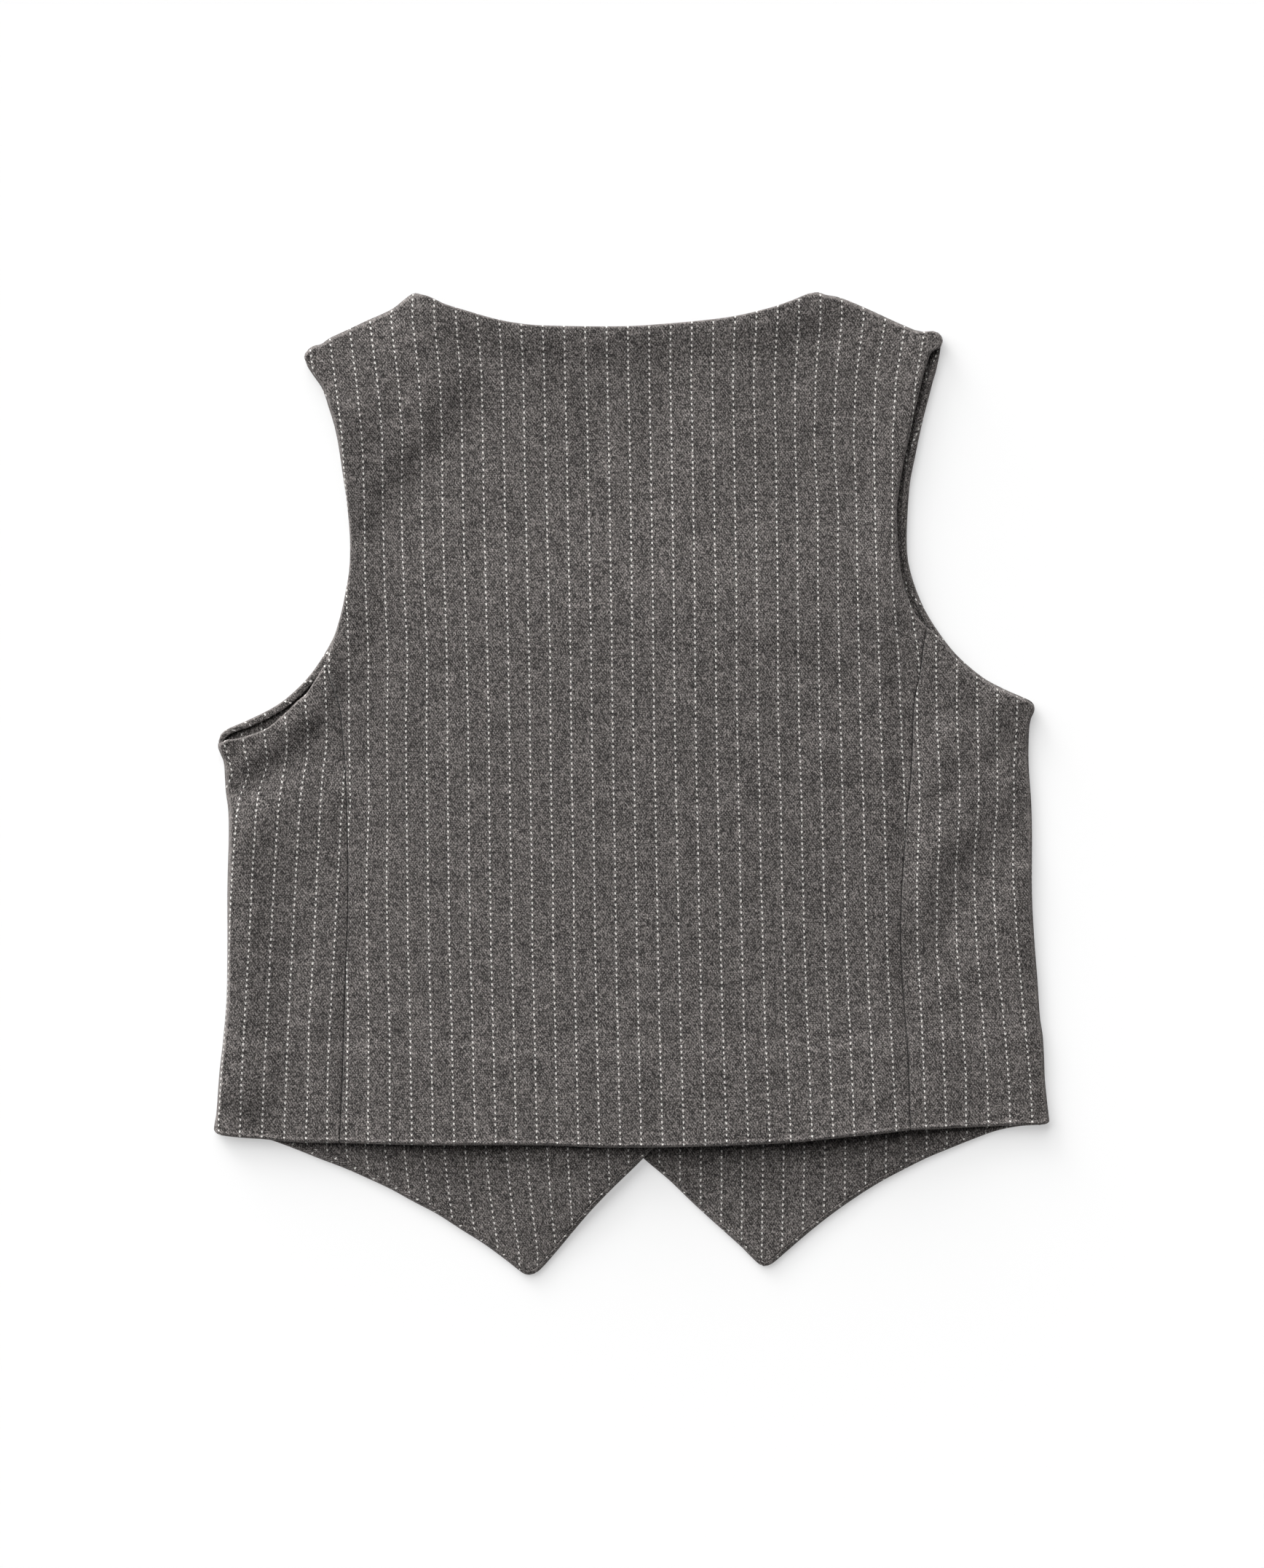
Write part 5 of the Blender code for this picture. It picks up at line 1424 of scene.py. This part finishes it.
def button_form():
    """Four-hole button, face down on z = 0: a disc with a dished face and a turned rim."""
    bpy.ops.object.select_all(action="DESELECT")
    bpy.ops.mesh.primitive_cylinder_add(
        vertices=72, radius=BUTTON_RADIUS * MM, depth=BUTTON_THICKNESS * MM,
        location=(0.0, 0.0, BUTTON_THICKNESS / 2 * MM),
    )
    button = bpy.context.active_object
    bpy.ops.object.mode_set(mode="EDIT")
    select_faces(button, lambda face: face.normal.z < -0.9)
    bpy.ops.mesh.inset(thickness=(BUTTON_RADIUS - BUTTON_DISH_RADIUS) * MM, depth=0.0)
    bpy.ops.mesh.inset(thickness=BUTTON_RIM * MM, depth=-BUTTON_DISH_DEPTH * MM)
    select_faces(button, lambda face: face.normal.z > 0.9)
    bpy.ops.mesh.inset(thickness=BUTTON_BACK * MM, depth=0.0)
    bpy.ops.object.mode_set(mode="OBJECT")
    rim = button.modifiers.new("rim", "BEVEL")
    rim.width = BUTTON_ROUNDING * MM
    rim.segments = 4
    rim.limit_method = "ANGLE"
    rim.angle_limit = math.radians(30.0)
    apply_all(button)
    for quarter in range(4):
        angle = math.radians(45 + 90 * quarter)
        bpy.ops.object.select_all(action="DESELECT")
        bpy.ops.mesh.primitive_cylinder_add(
            vertices=20, radius=BUTTON_HOLE_RADIUS * MM, depth=3 * BUTTON_THICKNESS * MM,
            location=(BUTTON_HOLE_REACH * math.cos(angle) * MM,
                      BUTTON_HOLE_REACH * math.sin(angle) * MM, 0.0),
        )
        drill = bpy.context.active_object
        hole = button.modifiers.new("hole", "BOOLEAN")
        hole.operation = "DIFFERENCE"
        hole.solver = "EXACT"
        hole.object = drill
        apply_all(button)
        bpy.data.objects.remove(drill, do_unlink=True)
    alone(button)
    bpy.ops.object.shade_smooth_by_angle(angle=math.radians(35.0))
    return button


def thread_piece(name, paths, radius, place, material):
    """Threads along the given paths, as one mesh piece at a place."""
    curve = bpy.data.curves.new(name, "CURVE")
    curve.dimensions = "3D"
    curve.bevel_depth = radius * MM
    curve.bevel_resolution = 2
    curve.use_fill_caps = True
    for path in paths:
        spline = curve.splines.new("POLY")
        spline.points.add(len(path) - 1)
        for point, position in zip(spline.points, path):
            point.co = (*(MM * part for part in position), 1.0)
    thing = bpy.data.objects.new(name, curve)
    bpy.context.scene.collection.objects.link(thing)
    alone(thing)
    bpy.ops.object.convert(target="MESH")
    thing = bpy.context.active_object
    thing.location = (place[0] * MM, place[1] * MM, 0.0)
    apply_all(thing)
    thing.name = name
    thing.data.name = name
    thing.data.materials.clear()
    thing.data.materials.append(material)
    thing.data.shade_smooth()
    return thing


def button_threads():
    """Paths of the threads through the holes of a button, and of the shank behind it."""
    paths = []
    for quarter, level in enumerate(THREAD_LEVELS):
        angle = math.radians(45 + 90 * quarter)
        along = np.array((math.cos(angle), math.sin(angle)))
        aside = np.array((-along[1], along[0]))
        half = [(reach, level + over if height is None else height)
                for reach, height, over in THREAD_LOOP]
        loop = half + [(-reach, height) for reach, height in half[-2::-1]]
        for shift in (-THREAD_GAP, THREAD_GAP):
            paths.append([(*(along * reach + aside * shift), height) for reach, height in loop])
    shank = []
    for step in range(SHANK_STEPS + 1):
        turn = math.tau * SHANK_TURNS * step / SHANK_STEPS
        height = SHANK_START + SHANK_HEIGHT * step / SHANK_STEPS
        shank.append((SHANK_RADIUS * math.cos(turn), SHANK_RADIUS * math.sin(turn), height))
    paths.append(shank)
    return paths


def buttonhole_stitches():
    """Short stitches side by side round a slit, as paths."""
    straight = BUTTONHOLE_LENGTH - 2 * BUTTONHOLE_HALF_WIDTH
    steps = int(straight / BUTTONHOLE_STITCH)
    starts = []                        # foot of each stitch in the slit, its direction and length
    for direction in (-1, 1):
        for step in range(steps + 1):
            length = BUTTONHOLE_HALF_WIDTH + STITCH_WAVER * math.sin(2.4 * step)
            x = BUTTONHOLE_HALF_WIDTH + straight * step / steps
            starts.append((x, (0.0, direction), length))
    for end, centre in ((-1, BUTTONHOLE_HALF_WIDTH), (1, BUTTONHOLE_HALF_WIDTH + straight)):
        for degrees in BUTTONHOLE_ENDS:
            angle = math.radians(degrees)
            away = (end * math.cos(angle), math.sin(angle))
            starts.append((centre, away, BUTTONHOLE_HALF_WIDTH))
    return [
        [(x + away[0] * reach, away[1] * reach, height)
         for reach, height in (*STITCH_START, (length, STITCH_END_HEIGHT))]
        for x, away, length in starts
    ]


def place_piece(piece, slot, node=None):
    """Attach a piece to the root and hide the model part that it stands for; the slot is not used.
    """
    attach(piece, "root")
    if node:
        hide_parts(node)


def make_buttons(plastic, thread):
    """The four buttons, their threads and their buttonholes."""
    form = button_form()
    for number, height in enumerate(BUTTON_HEIGHTS, 1):
        button = bpy.data.objects.new(f"button_{number}_disc", form.data.copy())
        bpy.context.scene.collection.objects.link(button)
        button.location = (CENTRE_FRONT * MM, height * MM, 0.0)
        apply_all(button)
        button.data.materials.clear()
        button.data.materials.append(plastic)
        place_piece(button, "button", f"button_{number}")
        threads = thread_piece(f"button_{number}_thread", button_threads(), THREAD_RADIUS,
                               (CENTRE_FRONT, height), thread)
        place_piece(threads, "button")
        level = float(front_height(np.array(CENTRE_FRONT), np.array(height), 1))
        stitches = [[(x, y, z + level) for x, y, z in path] for path in buttonhole_stitches()]
        hole = thread_piece(f"buttonhole_{number}", stitches, BUTTONHOLE_THREAD,
                            (BUTTONHOLE_START, height), thread)
        place_piece(hole, "cloth_outer")
    bpy.data.objects.remove(form, do_unlink=True)


# ---------------------------------------------------------------- the vest

outer_knit = knit("pinstripe_knit", 1.0)
# the lining's copy of the knit is painted darker, as shade
lining_knit = knit("pinstripe_lining", LINING_PAINTED_SHADE)

back = back_panel(outer_knit)
side_left = side_panel(LEFT, LEFT_SIDE_STRIPES, outer_knit)
side_right = side_panel(RIGHT, RIGHT_SIDE_STRIPES, outer_knit)
front_left, lining_left = front_pieces(LEFT, LEFT_LINING_STRIPES, outer_knit, lining_knit)
front_right, lining_right = front_pieces(RIGHT, RIGHT_LINING_STRIPES, outer_knit, lining_knit)

# piece, node, slot, width and length as cut, area as cut, what it rests on
SHEETS = (
    (back, "back", "cloth_outer", (0.238, 0.366), 0.078,
     ["front_lining_left", "front_lining_right"]),
    (side_left, "side_back_left", "cloth_outer", (0.056, 0.222), 0.0094, ["front_lining_left"]),
    (side_right, "side_back_right", "cloth_outer", (0.060, 0.226), 0.0106, ["front_lining_right"]),
    (front_left, "front_left", "cloth_outer", (0.182, 0.386), 0.0453, ["front_lining_right"]),
    (front_right, "front_right", "cloth_outer", (0.174, 0.383), 0.0434, ["button_1"]),
    (lining_left, "front_lining_left", "cloth_lining", (0.172, 0.374), 0.0418, ["front_left"]),
    (lining_right, "front_lining_right", "cloth_lining", (0.164, 0.371), 0.0402, ["front_right"]),
)
for piece, node, slot, flat, area, supports in SHEETS:
    place_piece(piece, slot, node)
    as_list(supports)

make_buttons(button_finish(), thread_finish())


# ---------------------------------------------------------------- floor, light, camera

LAMPS = (
    # name, light it gives a level white surface, elevation and width in the sky in degrees
    ("key", 0.79, 33.0, 76.0),
    ("low_key", 0.13, 14.0, 24.0),
)
LAMPS_TOWARDS = (-0.45, 0.66)          # x and y of the way from the vest to the lamps
SKY_SHARE = 0.12                       # the same for the light from all round
FLOOR_OWN = 0.46                       # share of the floor's own white where the camera sees it
FLOOR_GREY = 0.97
FLOOR_SIZE = 60.0                      # in metres, so that it also fills low views
FLOOR_LEVEL = -0.0003
VIEW_HEIGHT = 602.84
CAMERA_HEIGHT = 2400.0
CAMERA_OFFSET = (0.14, -0.14)
CAMERA_REACH = 100.0                   # in metres
SENSOR = 36.0


def make_floor():
    bpy.ops.object.select_all(action="DESELECT")
    bpy.ops.mesh.primitive_plane_add(size=FLOOR_SIZE, location=(0.0, 0.0, FLOOR_LEVEL))
    floor = bpy.context.active_object
    floor.name = "floor"
    finish = Finish("floor_white", Roughness=1.0, Specular_IOR_Level=0.0)
    finish.shader.inputs["Base Color"].default_value = (FLOOR_GREY, FLOOR_GREY, FLOOR_GREY, 1.0)
    rays = finish.tree.nodes.new("ShaderNodeLightPath")
    seen = 0.0
    for kind in ("Is Camera Ray", "Is Glossy Ray", "Is Transmission Ray"):
        seen = Wire(finish, rays.outputs[kind]) + seen
    seen = finish.math("MINIMUM", seen, 1.0)
    own = finish.node("ShaderNodeEmission", None, {"Color": (1.0, 1.0, 1.0, 1.0), "Strength": 1.0})
    shaded = Wire(finish, finish.shader.outputs[0])
    mixed = finish.node("ShaderNodeMixShader", None, {0: seen * FLOOR_OWN, 1: shaded, 2: own})
    surface = finish.tree.nodes["Material Output"].inputs["Surface"]
    finish.tree.links.new(mixed.socket, surface)
    floor.data.materials.append(finish.material)


def make_lights():
    world = bpy.data.worlds.new("studio")
    bpy.context.scene.world = world
    world.use_nodes = True
    world.node_tree.nodes["Background"].inputs["Color"].default_value = (1.0, 1.0, 1.0, 1.0)
    world.node_tree.nodes["Background"].inputs["Strength"].default_value = SKY_SHARE
    for name, share, degrees, spread in LAMPS:
        elevation = math.radians(degrees)
        flat = Vector((*LAMPS_TOWARDS, 0.0)).normalized() * math.cos(elevation)
        towards = flat + Vector((0.0, 0.0, math.sin(elevation)))
        lamp = bpy.data.lights.new(name, "SUN")
        lamp.angle = math.radians(spread)
        lamp.energy = share * math.pi / math.sin(elevation)
        stand = bpy.data.objects.new(name, lamp)
        stand.location = towards
        stand.rotation_euler = towards.to_track_quat("Z", "Y").to_euler()
        bpy.context.scene.collection.objects.link(stand)


def make_camera():
    data = bpy.data.cameras.new("camera")
    data.sensor_fit = "VERTICAL"
    data.sensor_height = SENSOR
    data.lens = SENSOR * CAMERA_HEIGHT / VIEW_HEIGHT
    data.clip_end = CAMERA_REACH
    camera = bpy.data.objects.new("camera", data)
    camera.location = [MM * part for part in (*CAMERA_OFFSET, CAMERA_HEIGHT)]
    bpy.context.scene.collection.objects.link(camera)
    bpy.context.scene.camera = camera


make_floor()
make_lights()
make_camera()
bpy.context.scene.view_settings.view_transform = "Standard"
